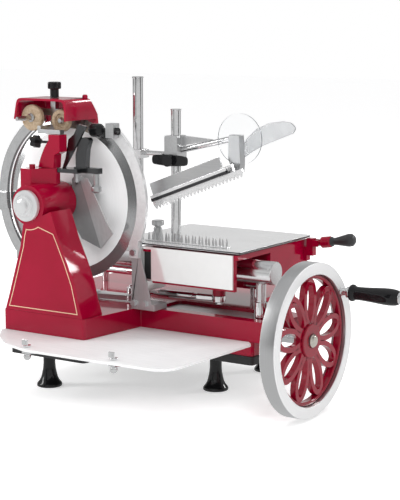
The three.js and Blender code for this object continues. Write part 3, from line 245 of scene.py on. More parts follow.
def startMaterial(name):
    material = bpy.data.materials.new(name)
    material.use_nodes = True
    nodes, links = material.node_tree.nodes, material.node_tree.links
    shader = nodes["Principled BSDF"]
    where = nodes.new("ShaderNodeTexCoord")
    return material, nodes, links, shader, where.outputs["Object"]


def useGroup(nodes, group, **values):
    node = nodes.new("ShaderNodeGroup")
    node.node_tree = group
    for label, value in values.items():
        node.inputs[label].default_value = value
    return node


def addWear(nodes, links, where, shader, scale, low, high):
    wear = useGroup(nodes, handling, Scale=scale, Low=low, High=high)
    links.new(where, wear.inputs["Vector"])
    links.new(wear.outputs["Roughness"], shader.inputs["Roughness"])
    return wear.outputs["Mask"]


def tint(nodes, links, fac, dark, light, low=0.3, high=0.7):
    ramp = nodes.new("ShaderNodeValToRGB")
    ramp.color_ramp.elements[0].position = low
    ramp.color_ramp.elements[0].color = (*dark, 1)
    ramp.color_ramp.elements[1].position = high
    ramp.color_ramp.elements[1].color = (*light, 1)
    links.new(fac, ramp.inputs[0])
    return ramp.outputs[0]


def paintMaterial(name):
    values = finishes[name]
    material, nodes, links, shader, where = startMaterial(name)
    ripple = useGroup(nodes, paintRipple, Depth=values["ripple"])
    links.new(where, ripple.inputs["Vector"])
    links.new(ripple.outputs["Normal"], shader.inputs["Normal"])
    mask = addWear(nodes, links, where, shader, 7.0, values["low"], values["high"])
    colour = values["colour"]
    dark = values.get("shade", tuple(channel * 0.75 for channel in colour))
    links.new(tint(nodes, links, mask, dark, colour), shader.inputs["Base Color"])
    shader.inputs["Specular IOR Level"].default_value = values.get("gloss", 0.5)
    if "coat" in values:
        shader.inputs["Coat Weight"].default_value = values["coat"]
        shader.inputs["Coat Roughness"].default_value = 0.03
    return material


def metalMaterial(name):
    values = finishes[name]
    material, nodes, links, shader, where = startMaterial(name)
    shader.inputs["Metallic"].default_value = values.get("metal", 1.0)
    grain = useGroup(nodes, brushedGrain, Along=values["grain"], Depth=values["depth"])
    links.new(where, grain.inputs["Vector"])
    links.new(grain.outputs["Normal"], shader.inputs["Normal"])
    addWear(nodes, links, where, shader, 11.0, values["low"], values["high"])
    colour = values["colour"]
    dark = tuple(channel * values.get("streak", 0.88) for channel in colour)
    links.new(tint(nodes, links, grain.outputs["Lines"], dark, colour), shader.inputs["Base Color"])
    return material


def turnedMetal(name, base, centre, spin, scale):
    # Metal with turning marks around an axis through centre; spin turns that axis to Z
    values = finishes[base]
    material, nodes, links, shader, where = startMaterial(name)
    shader.inputs["Metallic"].default_value = values.get("metal", 1.0)
    shift = nodes.new("ShaderNodeMapping")
    shift.vector_type = "TEXTURE"
    shift.inputs["Location"].default_value = centre
    shift.inputs["Rotation"].default_value = spin
    links.new(where, shift.inputs["Vector"])
    rings = useGroup(nodes, turningMarks, Scale=scale, Depth=0.04)
    links.new(shift.outputs["Vector"], rings.inputs["Vector"])
    links.new(rings.outputs["Normal"], shader.inputs["Normal"])
    addWear(nodes, links, where, shader, 8.0, values["low"], values["high"])
    colour = values["colour"]
    dark = tuple(channel * 0.86 for channel in colour)
    links.new(tint(nodes, links, rings.outputs["Rings"], dark, colour), shader.inputs["Base Color"])
    return material


def stoneMaterial():
    material, nodes, links, shader, where = startMaterial("abrasiveStone")
    cells = nodes.new("ShaderNodeTexVoronoi")
    cells.inputs["Scale"].default_value = 900.0
    links.new(where, cells.inputs["Vector"])
    fac = noiseNode(nodes, links, where, 260.0, 6.0, 0.7)
    speckle = tint(nodes, links, fac, (0.30, 0.21, 0.13), (0.52, 0.41, 0.29), 0.35, 0.65)
    links.new(speckle, shader.inputs["Base Color"])
    normal = addBump(nodes, links, cells.outputs["Distance"], 0.0006, 0.5)
    links.new(normal, shader.inputs["Normal"])
    shader.inputs["Roughness"].default_value = 0.93
    return material


def acrylicMaterial():
    material, nodes, links, shader, where = startMaterial("clearAcrylic")
    shader.inputs["Base Color"].default_value = (0.97, 0.975, 0.98, 1)
    shader.inputs["Transmission Weight"].default_value = 1.0
    shader.inputs["IOR"].default_value = 1.16
    addWear(nodes, links, where, shader, 20.0, 0.0, 0.05)
    return material


def paddleMaterial():
    # Clear sheet that handling has dulled a little
    material, nodes, links, shader, where = startMaterial("dulledAcrylic")
    shader.inputs["Transmission Weight"].default_value = 0.72
    shader.inputs["IOR"].default_value = 1.2
    mask = addWear(nodes, links, where, shader, 26.0, 0.06, 0.2)
    links.new(tint(nodes, links, mask, (0.66, 0.67, 0.68), (0.78, 0.79, 0.8)),
              shader.inputs["Base Color"])
    return material


def edgeMaterial():
    # The sawn and flamed edge of clear sheet, painted grey as painted shade for the dark outline
    # that light gives a clear edge
    material, nodes, links, shader, where = startMaterial("acrylicEdge")
    shader.inputs["Metallic"].default_value = 0.2
    mask = addWear(nodes, links, where, shader, 60.0, 0.12, 0.3)
    links.new(tint(nodes, links, mask, (0.14, 0.15, 0.16), (0.34, 0.35, 0.36)),
              shader.inputs["Base Color"])
    return material


turned = ("bladeSteel", "bevelSteel", "rimFace", "capFace")
looks = {name: (metalMaterial if "grain" in values else paintMaterial)(name)
         for name, values in finishes.items() if name not in turned}
looks["abrasiveStone"] = stoneMaterial()
looks["clearAcrylic"] = acrylicMaterial()
looks["dulledAcrylic"] = paddleMaterial()
looks["acrylicEdge"] = edgeMaterial()
aroundY = (math.radians(-90), 0, 0)
aroundX = (0, math.radians(90), 0)
bladeX, bladeZ = -200, 360
wheelY, wheelZ = -6, 141
for name, base, centre, spin, scale in (
        ("wheelMetal", "rimFace", place(270, wheelY, wheelZ), aroundX, 900.0),
        ("bladeMetal", "bladeSteel", place(bladeX, -50, bladeZ), aroundY, 900.0),
        ("bladeBevel", "bevelSteel", place(bladeX, -50, bladeZ), aroundY, 900.0),
        ("capMetal", "capFace", place(bladeX, -190, bladeZ), aroundY, 1400.0)):
    looks[name] = turnedMetal(name, base, centre, spin, scale)

slotLook = {
    "red_paint": "enamelRed", "polished_steel": "polishedSteel", "satin_steel": "satinSteel",
    "cast_aluminium": "castAluminium", "bright_chrome": "brightChrome",
    "black_plastic": "blackPlastic", "black_pan": "blackPan", "clear_plastic": "clearAcrylic",
    "grinding_stone": "abrasiveStone", "dark_steel": "darkSteel",
}
print("materials ready")


def softenEdges(bm, width, segments=2, angle=28, within=None):
    # Rounds every edge sharper than angle, in the whole mesh or only within the edges given
    edges = [edge for edge in within or bm.edges
             if len(edge.link_faces) == 2 and edge.calc_face_angle(0) > math.radians(angle)]
    if not edges or width == 0:
        return []
    return bmesh.ops.bevel(
        bm, geom=edges, offset=width * 0.001, offset_type="OFFSET", segments=segments, profile=0.5,
        affect="EDGES", clamp_overlap=True, material=-1)["verts"]


def finishPiece(name, bm, look, nodes=(), body=None, smooth=35, turnOut=True):
    # Either replaces nodes, or rides on a body as a piece of its own
    if turnOut:
        bmesh.ops.remove_doubles(bm, verts=bm.verts, dist=1e-6)
        bmesh.ops.recalc_face_normals(bm, faces=bm.faces)
    mesh = bpy.data.meshes.new(name)
    bm.to_mesh(mesh)
    bm.free()
    mesh.shade_smooth()
    mesh.set_sharp_from_angle(angle=math.radians(smooth))
    piece = bpy.data.objects.new(name, mesh)
    bpy.context.scene.collection.objects.link(piece)
    for material in ([look] if isinstance(look, str) else look):
        mesh.materials.append(looks[material])
    # Flat faces stay flat beside soft edges
    even = piece.modifiers.new("evenNormals", "WEIGHTED_NORMAL")
    even.keep_sharp = True
    even.weight = 60
    nodes = [nodes] if isinstance(nodes, str) else list(nodes)
    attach(piece, body or bodyOf[nodes[0]])
    if nodes:
        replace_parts(piece, *nodes)


def addTurned(bm, profile, axis, centre, steps, tilt=None):
    # Spins a profile of (radius, height) in millimetres around an axis through centre
    verts = [bm.verts.new((radius * 0.001, 0, height * 0.001)) for radius, height in profile]
    edges = [bm.edges.new(pair) for pair in zip(verts, verts[1:])]
    bmesh.ops.spin(bm, geom=verts + edges, cent=(0, 0, 0), axis=(0, 0, 1), angle=math.tau,
                   steps=steps, use_merge=True)
    seen = set(verts)
    stack = list(verts)
    while stack:
        for edge in stack.pop().link_edges:
            for vert in edge.verts:
                if vert not in seen:
                    seen.add(vert)
                    stack.append(vert)
    matrix = {"x": Matrix.Rotation(math.radians(90), 4, "Y"),
              "y": Matrix.Rotation(math.radians(-90), 4, "X"), "z": Matrix.Identity(4)}[axis]
    if tilt is not None:
        matrix = tilt @ matrix
    matrix = Matrix.Translation(place(*centre)) @ matrix
    bmesh.ops.transform(bm, matrix=matrix, verts=list(seen))
    return list(seen)


def addBox(bm, x0, x1, y0, y1, z0, z1):
    made = bmesh.ops.create_cube(bm, size=1.0)["verts"]
    bmesh.ops.scale(bm, vec=((x1 - x0) * 0.001, (y1 - y0) * 0.001, (z1 - z0) * 0.001), verts=made)
    bmesh.ops.translate(bm, vec=place((x0 + x1) / 2, (y0 + y1) / 2, (z0 + z1) / 2), verts=made)


def extrudeFaces(bm, faces, shift):
    # Gives flat faces a thickness; returns the corners of the far side
    grown = bmesh.ops.extrude_face_region(bm, geom=faces, use_keep_orig=True)
    top = [item for item in grown["geom"] if isinstance(item, bmesh.types.BMVert)]
    bmesh.ops.translate(bm, vec=shift, verts=top)
    return top


def mergedSolid(node):
    # A copy of the node's own solid without its doubled corners and flat seams
    bm = bmesh.new()
    bm.from_mesh(nodeOf[node].data)
    bmesh.ops.remove_doubles(bm, verts=bm.verts, dist=2e-6)
    bmesh.ops.dissolve_limit(bm, angle_limit=math.radians(1.0), verts=bm.verts, edges=bm.edges)
    return bm


def cadCopy(node, look=None, width=0.6, segments=2, pick=None):
    # The node's own solid with softened edges; pick gives a face its look by number
    bm = mergedSolid(node)
    softenEdges(bm, width, segments)
    if pick:
        for face in bm.faces:
            face.material_index = pick(face)
    finishPiece(node + "_dressed", bm, look or slotLook[slotOf[node]], node, turnOut=False)


def turnedPiece(name, profile, axis, centre, look, node, steps):
    bm = bmesh.new()
    addTurned(bm, profile, axis, centre, steps)
    finishPiece(name, bm, look, node)


view = {"target": (83.6, -50, 287.6), "azimuth": 33.6, "elevation": 9.0, "distance": 2645.7,
        "sensor": 36, "lens": 108.36}
studio = {
    "fill": 0.84, "floorGlow": 0.48, "floorMirror": 0.66,
    "wall": ((0.5, 0.5), (0.52, 0.5), (0.56, 0.85), (0.66, 0.75), (0.8, 0.5)),  # height, tone
    "lamps": (  # place, size, power
        ("keySoftbox", (1.9, -2.4, 2.2), (0.9, 1.4), 40),
        ("leftSoftbox", (-2.4, -1.6, 1.5), (0.7, 1.8), 34),
        ("topSoftbox", (0.0, 0.3, 2.8), (1.6, 1.6), 32),
        ("rearSoftbox", (1.6, 2.4, 1.5), (0.35, 0.55), 16),
    ),
    # Dark boards that only reflections see: turn from the front, distance, width, height
    "cards": (
        ("leftBoard", -14, 2.4, 0.55, 2.6), ("rightBoard", 100, 2.2, 0.7, 2.2),
        ("backBoard", 172, 2.6, 0.9, 1.4), ("farLeftBoard", -95, 2.4, 0.6, 2.0),
    ),
    "floorSide": 24,
}


def aimAt(thing, target):
    way = Vector(target) - thing.location
    thing.rotation_euler = way.to_track_quat("-Z", "Y").to_euler()


def addSheet(name, width, height, material):
    bm = bmesh.new()
    made = bmesh.ops.create_grid(bm, x_segments=1, y_segments=1, size=0.5)["verts"]
    bmesh.ops.scale(bm, vec=(width, height, 1), verts=made)
    mesh = bpy.data.meshes.new(name)
    bm.to_mesh(mesh)
    bm.free()
    mesh.materials.append(material)
    sheet = bpy.data.objects.new(name, mesh)
    bpy.context.scene.collection.objects.link(sheet)
    return sheet


def makeCamera():
    scene = bpy.context.scene
    camera = bpy.data.objects.new("photoCamera", bpy.data.cameras.new("photoCamera"))
    scene.collection.objects.link(camera)
    turn, lift = math.radians(view["azimuth"]), math.radians(view["elevation"])
    flat = math.cos(lift)
    way = Vector((math.sin(turn) * flat, -math.cos(turn) * flat, math.sin(lift)))
    target = place(*view["target"])
    camera.location = target + way * view["distance"] * 0.001
    aimAt(camera, target)
    camera.data.sensor_fit = "VERTICAL"
    camera.data.sensor_height = view["sensor"]
    camera.data.lens = view["lens"]
    camera.data.clip_end = 50
    scene.camera = camera


def makeFloor():
    material = bpy.data.materials.new("paleFloor")
    material.use_nodes = True
    shader = material.node_tree.nodes["Principled BSDF"]
    shader.inputs["Base Color"].default_value = (0.93, 0.93, 0.93, 1)
    shader.inputs["Roughness"].default_value = 0.85
    shader.inputs["Emission Color"].default_value = (1, 1, 1, 1)
    shader.inputs["Emission Strength"].default_value = studio["floorGlow"]
    nodes, links = material.node_tree.nodes, material.node_tree.links
    # Reflections see a quieter floor than the camera does
    glow = nodes.new("ShaderNodeEmission")
    glow.inputs["Color"].default_value = (*[studio["floorMirror"]] * 3, 1)
    path = nodes.new("ShaderNodeLightPath")
    pick = nodes.new("ShaderNodeMixShader")
    only = nodes.new("ShaderNodeMath")
    only.operation = "SUBTRACT"
    only.use_clamp = True
    links.new(path.outputs["Is Glossy Ray"], only.inputs[0])
    links.new(path.outputs["Is Transmission Ray"], only.inputs[1])
    links.new(only.outputs[0], pick.inputs[0])
    links.new(shader.outputs[0], pick.inputs[1])
    links.new(glow.outputs[0], pick.inputs[2])
    links.new(pick.outputs[0], nodes["Material Output"].inputs["Surface"])
    floor = addSheet("floor", studio["floorSide"], studio["floorSide"], material)


def makeLamps():
    for name, spot, size, power in studio["lamps"]:
        lamp = bpy.data.objects.new(name, bpy.data.lights.new(name, "AREA"))
        lamp.data.shape = "RECTANGLE"
        lamp.data.size, lamp.data.size_y = size
        lamp.data.energy = power
        bpy.context.scene.collection.objects.link(lamp)
        lamp.location = spot
        lamp.visible_glossy = name not in ("topSoftbox", "keySoftbox")
        aimAt(lamp, (0, 0, 0.25))


def makeBoards():
    dark = bpy.data.materials.new("darkBoard")
    dark.use_nodes = True
    shader = dark.node_tree.nodes["Principled BSDF"]
    shader.inputs["Base Color"].default_value = (0.015, 0.015, 0.016, 1)
    for name, turn, distance, width, height in studio["cards"]:
        board = addSheet(name, width, height, dark)
        way = math.radians(turn)
        board.location = (math.sin(way) * distance, -math.cos(way) * distance, height / 2)
        aimAt(board, (0, 0, height / 2))
        board.visible_camera = board.visible_diffuse = board.visible_shadow = False
        board.visible_transmission = False


def makeWorld():
    scene = bpy.context.scene
    world = bpy.data.worlds.new("studio")
    scene.world = world
    world.use_nodes = True
    nodes, links = world.node_tree.nodes, world.node_tree.links
    where = nodes.new("ShaderNodeTexCoord")
    split = nodes.new("ShaderNodeSeparateXYZ")
    level = nodes.new("ShaderNodeMapRange")
    ramp = nodes.new("ShaderNodeValToRGB")
    links.new(where.outputs["Generated"], split.inputs[0])
    links.new(split.outputs[2], level.inputs["Value"])
    level.inputs["From Min"].default_value = -1.0
    links.new(level.outputs["Result"], ramp.inputs[0])
    ramp.color_ramp.elements[0].position = 0.0
    ramp.color_ramp.elements[0].color = (0.9, 0.9, 0.9, 1)
    ramp.color_ramp.elements[1].position = 1.0
    ramp.color_ramp.elements[1].color = (0.75, 0.75, 0.76, 1)
    for position, tone in studio["wall"]:
        ramp.color_ramp.elements.new(position).color = (tone, tone, tone, 1)
    lit = nodes["Background"]
    lit.inputs["Strength"].default_value = studio["fill"]
    links.new(ramp.outputs[0], lit.inputs["Color"])
    plain = nodes.new("ShaderNodeBackground")
    plain.inputs["Color"].default_value = (1, 1, 1, 1)
    pick = nodes.new("ShaderNodeMixShader")
    path = nodes.new("ShaderNodeLightPath")
    straight = nodes.new("ShaderNodeMath")
    straight.operation = "MAXIMUM"
    links.new(path.outputs["Is Camera Ray"], straight.inputs[0])
    links.new(path.outputs["Is Transmission Ray"], straight.inputs[1])
    links.new(straight.outputs[0], pick.inputs[0])
    links.new(lit.outputs[0], pick.inputs[1])
    links.new(plain.outputs[0], pick.inputs[2])
    links.new(pick.outputs[0], nodes["World Output"].inputs["Surface"])
    scene.view_settings.view_transform = "Standard"


makeCamera()
makeFloor()
makeLamps()
makeBoards()
makeWorld()
print("studio ready")


def ringLine(outline, width, lift, front):
    # A thin painted line that runs along a closed outline on a face that looks to the front
    bm = bmesh.new()
    middle = bm.faces.new([bm.verts.new(place(x, front, z)) for x, z in outline])
    middle.normal_update()
    bmesh.ops.inset_individual(bm, faces=[middle], thickness=width * 0.001, use_even_offset=True)
    bmesh.ops.delete(bm, geom=[middle], context="FACES_ONLY")
    extrudeFaces(bm, list(bm.faces), (0, -lift * 0.001, 0))
    return bm


def arcSpots(centre, radius, start, end, steps):
    out = []
    for i in range(steps + 1):
        angle = math.radians(start + (end - start) * i / steps)
        out.append((centre[0] + radius * math.cos(angle), centre[1] + radius * math.sin(angle)))
    return out


feet = {
    "spots": {"foot_front_left": (-250, -64), "foot_front_right": (30, 84),
              "foot_rear_right": (30, 268), "foot_rear_left": (-250, 268)},
    "profile": ((0, 0), (23, 0), (24, 1), (24, 4.5), (22.5, 7), (19, 11), (16, 17), (14, 25),
                (12.2, 34), (11.4, 44), (11.4, 62), (12, 63), (14.6, 63.6), (15, 64.5), (15, 83.2),
                (14.5, 83.7), (0, 83.7)),
}


def makeFeet():
    for node, (x, y) in feet["spots"].items():
        turnedPiece(node + "_bell", feet["profile"], "z", (x, y, 0), "blackPlastic", node, 48)


wheel = {
    "centre": (0, wheelY, wheelZ), "rear": 261.5, "face": 291.5, "radius": 136, "inner": 115,
    "edge": 1.6, "webRear": 271.5, "webFace": 282.5, "ringOuter": 114.4, "ringWidth": 7,
    "petals": 9, "petalMiddle": 66, "petalLong": 43, "petalWide": 21, "petalTaper": 0.12,
    "petalTube": 9.2, "petalRound": 3.2, "hub": 30, "bore": 9.3,
}


def makeRim():
    w = wheel
    edge = w["edge"]
    rear, face, radius, inner = w["rear"], w["face"], w["radius"], w["inner"]
    profile = ((inner + edge, rear), (radius - edge, rear), (radius, rear + edge),
               (radius, face - edge), (radius - edge, face), (inner + edge, face),
               (inner, face - edge), (inner, rear + edge), (inner + edge, rear))
    bm = bmesh.new()
    addTurned(bm, profile, "x", w["centre"], 120)
    bmesh.ops.remove_doubles(bm, verts=bm.verts, dist=1e-6)
    bmesh.ops.recalc_face_normals(bm, faces=bm.faces)
    for item in bm.faces:
        item.material_index = 1 if abs(item.normal.x) < 0.5 else 0
    finishPiece("wheelRim", bm, ["wheelMetal", "rimSide"], "wheel_rim", smooth=50, turnOut=False)


def makeSpider():
    w = wheel
    low, high = w["webRear"], w["webFace"]
    outer, hub, bore = w["ringOuter"], w["hub"], w["bore"]
    inner = outer - w["ringWidth"]
    bm = bmesh.new()
    addTurned(bm, ((inner, low - 1), (outer, low - 1), (outer, high + 1), (inner, high + 1),
                   (inner, low - 1)), "x", w["centre"], 90)
    addTurned(bm, ((bore, low - 5), (hub, low - 5), (hub, high + 4), (bore + 3, high + 4),
                   (bore, high + 2), (bore, low - 5)), "x", w["centre"], 60)
    softenEdges(bm, 2.0, 3)
    upright = Matrix(((0, 0, 1, 0), (1, 0, 0, 0), (0, 1, 0, 0), (0, 0, 0, 1)))
    spot = Matrix.Translation(place(low, wheelY, wheelZ))
    for number in range(w["petals"]):
        made = bmesh.ops.create_circle(bm, cap_ends=True, segments=44, radius=1.0)["verts"]
        for vert in made:  # egg shape, wider towards the rim
            vert.co.x *= w["petalWide"] * (1 + w["petalTaper"] * vert.co.y) * 0.001
            vert.co.y = (vert.co.y * w["petalLong"] + w["petalMiddle"]) * 0.001
        face = made[0].link_faces[0]
        bmesh.ops.inset_region(bm, faces=[face], thickness=w["petalTube"] * 0.001,
                               use_boundary=True, use_even_offset=True)
        hole = list(face.verts)
        bmesh.ops.delete(bm, geom=[face], context="FACES_ONLY")
        band = list(dict.fromkeys(link for vert in made + hole for link in vert.link_faces))
        top = extrudeFaces(bm, band, (0, 0, (high - low) * 0.001))
        petal = list(dict.fromkeys(vert for item in band for vert in item.verts)) + top
        rims = dict.fromkeys(edge for vert in petal for edge in vert.link_edges)
        soft = softenEdges(bm, w["petalRound"], 3, 50, rims)
        petal = list(dict.fromkeys([vert for vert in petal if vert.is_valid] + soft))
        spin = Matrix.Rotation(math.tau * number / w["petals"], 4, "X")
        bmesh.ops.transform(bm, matrix=spot @ spin @ upright, verts=petal)
    bmesh.ops.recalc_face_normals(bm, faces=bm.faces)
    finishPiece("wheelSpider", bm, "spiderRed", "wheel_spider", smooth=40, turnOut=False)


crankHandle = {
    "y": 86.98, "z": 213.65, "start": 291.8, "length": 94, "gripStart": 19.3, "gripGap": 0.3,
    "grip": ((6.4, 0), (12, 0), (14.2, 0.8), (15, 2.6), (15, 5.2), (14, 7.2), (12.4, 9), (11.9, 12),
             (11.8, 17), (12.1, 26), (12.9, 40), (14, 54), (14.8, 66), (15, 75), (14.7, 82),
             (13.9, 88), (12.6, 92), (11.2, 94), (6.4, 94), (6.4, 0)),
    "slotDepth": 0.7, "slotLong": 8.5, "slotWide": 0.9, "slotTurn": 35,
}


def makeHandle():
    c = crankHandle
    at = (c["start"], c["y"], c["z"])
    grip = [(radius, height + c["gripStart"]) for radius, height in c["grip"]]
    turnedPiece("crankGrip", grip, "x", at, "blackPlastic", "handle_grip", 56)
    end = c["length"] + c["gripStart"] + c["gripGap"]
    bm = bmesh.new()
    addTurned(bm, ((0, 0), (8, 0), (8, 2), (6.5, 5), (6.5, 10), (8.8, 11.5), (10, 13), (10, 17),
                   (9, 18.8), (6, 19), (6, end), (10.2, end), (10.5, end + 1), (10.5, end + 3.6),
                   (9.6, end + 5), (7, end + 5.8), (0, end + 6)), "x", at, 48)
    bmesh.ops.recalc_face_normals(bm, faces=bm.faces)
    finishPiece("crankSpindle", bm, "brightChrome", "handle_spindle", turnOut=False)
    bm = bmesh.new()
    tip = c["start"] + end + 5.5
    addBox(bm, tip, tip + c["slotDepth"], c["y"] - c["slotLong"], c["y"] + c["slotLong"],
           c["z"] - c["slotWide"], c["z"] + c["slotWide"])
    bmesh.ops.rotate(bm, cent=place(tip, c["y"], c["z"]), verts=bm.verts,
                     matrix=Matrix.Rotation(math.radians(c["slotTurn"]), 3, "X"))
    finishPiece("crankScrewSlot", bm, "darkSteel", body=bodyOf["handle_spindle"])


stoneBore, stoneEdge = 3.9, 1.6
stones = {
    "stone_front": {
        "at": (-253, 510), "rear": -91.5, "front": -101, "radius": 24, "dish": 0,
        "spindle": ((0, 0), (8, 0), (8, 2.4), (5.2, 4.6), (4.6, 6), (4.6, 27), (3.6, 29),
                    (3.6, 40.4), (3, 41), (0, 41)),
    },
    "stone_rear": {
        "at": (-195, 506), "rear": -79, "front": -90, "radius": 20.6, "dish": 4.8,
        "spindle": ((0, -4.4), (6, -4.4), (6, -2), (4.4, 0.2), (3.9, 1), (0, 1)),
    },
}


def flipToFront(verts, y):
    # A profile runs towards the rear, so what it made is mirrored at y
    for vert in verts:
        vert.co.y = 2 * place(0, y, 0).y - vert.co.y


def makeStones():
    for node, v in stones.items():
        bm = bmesh.new()
        (x, z), r, dish = v["at"], v["radius"], v["dish"]
        run = v["rear"] - v["front"]
        face = [(r - stoneEdge, run), (stoneBore, run - dish)]
        if dish:
            face[1:1] = [(13, run), (12, run - dish)]
        rim = [(stoneBore, 0), (r - stoneEdge, 0), (r, stoneEdge), (r, run - stoneEdge)]
        addTurned(bm, rim + face + [(stoneBore, 0)], "y", (x, v["rear"], z), 48)
        flipToFront(bm.verts, v["rear"])
        disc = set(bm.faces)
        flipToFront(addTurned(bm, v["spindle"], "y", (x, v["front"], z), 24), v["front"])
        stem = ((0, 0), (stoneBore, 0), (stoneBore, run + 11), (0, run + 11))
        addTurned(bm, stem, "y", (x, v["front"], z), 20)
        for face in bm.faces:
            face.material_index = 0 if face in disc else 1
        bmesh.ops.recalc_face_normals(bm, faces=bm.faces)
        finishPiece(node + "_wheel", bm, ["abrasiveStone", "satinSteel"], node, turnOut=False)


topKnob = {"at": (-218, -76), "base": 546.3, "ribs": 14, "head": 0.0115, "flute": 0.045}


def makeTopKnob():
    x, y = topKnob["at"]
    bm = bmesh.new()
    z = topKnob["base"]
    addTurned(bm, ((0, 0), (7.6, 0), (8, 0.6), (8, 15.4), (8.6, 16), (11.2, 16.2), (12.5, 17.6),
                   (12.5, 27), (11.6, 28.6), (9.5, 29), (0, 29)), "z", (x, y, z),
              topKnob["ribs"] * 4)
    middle = place(x, y, z)
    for vert in bm.verts:  # grip flutes around the head
        reach = Vector((vert.co.x - middle.x, vert.co.y - middle.y))
        if reach.length > topKnob["head"]:
            wave = math.cos(topKnob["ribs"] * math.atan2(reach.y, reach.x))
            scale = 1 - topKnob["flute"] * (1 - wave)
            vert.co.x = middle.x + reach.x * scale
            vert.co.y = middle.y + reach.y * scale
    finishPiece("sharpenerTopKnob", bm, "blackPlastic", "sharpener_top_knob", smooth=30)


seat = 289.3  # where the posts and the spike bar stand on the food plate
spikes = {"count": 12, "first": -50, "pitch": 14.5, "rows": ((0, -16.5), (4, -9.5)),
          "bar": (-58, 120, -20, -6), "thick": 2,
          "profile": ((0, 0), (1.7, 0), (2.1, 2.5), (1.9, 6), (1.2, 11), (0.5, 14.4), (0, 15))}


def makeSpikes():
    v = spikes
    bm = bmesh.new()
    addBox(bm, *v["bar"], seat, seat + v["thick"])
    softenEdges(bm, 0.5, 2)
    strip = set(bm.faces)
    for number in range(v["count"]):
        for shift, y in v["rows"]:
            x = v["first"] + number * v["pitch"] + shift
            addTurned(bm, v["profile"], "z", (x, y, seat + 1.5), 10)
    for face in bm.faces:
        face.material_index = 0 if face in strip else 1
    bmesh.ops.recalc_face_normals(bm, faces=bm.faces)
    finishPiece("spikeBar", bm, ["brushedPlate", "castAluminium"], "spike_bar", smooth=40,
                turnOut=False)


posts = {"post_left": (-89, 9.5, 585), "post_right": (-5, 9, 529)}  # x, radius, top


def makePosts():
    for node, (x, r, top) in posts.items():
        profile = ((0, seat), (r - 0.3, seat), (r, seat + 0.5), (r, top - 3), (r + 1, top - 2.4),
                   (r + 1, top - 0.6), (r + 0.4, top), (0, top))
        turnedPiece(node + "_bar", profile, "z", (x, 5, 0), "brightChrome", node, 56)


guideRod = {"radius": 21, "left": -318.7, "right": 203, "centre": (0, 12, 248)}


def makeGuideRod():
    r, left, right = guideRod["radius"], guideRod["left"], guideRod["right"]
    profile = ((0, left), (r - 1, left), (r, left + 1), (r, right - 1.2), (r - 1.2, right),
               (0, right))
    turnedPiece("guideRod", profile, "x", guideRod["centre"], "guideSteel", "guide_rod", 72)


capSeat = -178.3


def makeCap():
    profile = [(8.6, 0), (26.5, 0), (28, -1.2), (28, -7.6), (26.2, -9.6), (20, -10), (19, -11),
               (19, -13.6), (17.4, -15), (14, -15), (13, -15.8), (12.4, -17.6), (9, -18.8),
               (0, -19)]
    bm = bmesh.new()
    addTurned(bm, profile, "y", (bladeX, capSeat, bladeZ), 72)
    finishPiece("shaftCap", bm, "capMetal", "shaft_cap", smooth=30)


pinstripe = {
    "width": 1.5, "lift": 0.2, "inset": 6.5, "front": -178.05,
    "left": ((-255, 173), (-248, 193), (-233, 240), (-219, 285), (-215.5, 306)),
    "right": ((-130, 300), (-112, 262), (-97, 225), (-88, 190), (-84, 173)),
    "top": (-143, 313), "arc": (43, 263, 302, 8),  # radius, start, end, steps
}


def makePinstripes():
    p = pinstripe
    left = [(x + p["inset"], z) for x, z in p["left"]]
    right = [(x - p["inset"], z) for x, z in p["right"]]
    arc = arcSpots((bladeX, bladeZ), *p["arc"])
    line = ringLine(left + arc + [p["top"]] + right, p["width"], p["lift"], p["front"])
    finishPiece("towerPinstripe", line, "creamLine", body="base", smooth=30)


def outerFace(x, z, radius):
    # Picks the second look for faces near a cylinder's wall around a Y axis
    middle = place(x, 0, z)

    def pick(face):
        spot = face.calc_center_median()
        far = math.hypot(spot.x - middle.x, spot.z - middle.z) > radius * 0.001
        return 1 if far and abs(face.normal.y) < 0.7 else 0
    return pick


def edgeBevel(x, z, radius):
    # Picks the second look for the sloped band at a disc's edge
    middle = place(x, 0, z)

    def pick(face):
        spot = face.calc_center_median() - middle
        spot.y = 0
        return 1 if spot.length > radius * 0.001 and 0.05 < abs(face.normal.y) < 0.995 else 0
    return pick


def innerFace(x, z):
    # Picks the second look for the faces of a ring that look at its axis
    middle = place(x, 0, z)

    def pick(face):
        spot = face.calc_center_median() - middle
        spot.y = 0
        return 1 if face.normal.dot(spot.normalized()) < -0.25 else 0
    return pick


dressing = {  # node: look, edge width, segments
    "base_casting": ("enamelRed", 2.2, 3), "sharpener_hood": ("enamelRed", 1.6, 3),
    "sharpener_arm": ("enamelRed", 2.0, 3), "base_pan": ("blackPan", 1.2, 2),
    "receiving_tray": ("brushedTray", 0.8, 2),
    "carriage_panel": ("panelSteel", 0.5, 2),
    "guard_bracket": ("bracketSteel", 0.5, 2),
    "deflector_bracket": ("armSteel", 1.2, 2),
    "deflector_knob": ("satinSteel", 0.8, 2),
    "press_block": ("castAluminium", 1.2, 3), "press_teeth": ("brushedPlate", 0.3, 1),
    "press_bracket": ("satinSteel", 0.8, 2),
    "lever_grip": ("greyGrip", 0, 1), "hub_cap": ("warmChrome", 0.8, 2),
    "deck_plate": ("bracketSteel", 0.6, 2),
    "lobed_knob": ("blackPlastic", 1.4, 3), "wing_knob": ("blackPlastic", 1.0, 2),
}


bladeFlat = 128  # radius where the blade's sloped edge starts
handDisc = (137, 482, 42)  # x, z and the radius that its edge lies beyond
comb = {"pivot": (128, 430), "slope": 20.7, "split": -0.5, "ledge": 5, "front": -28,
        "narrow": 0.9e-4}


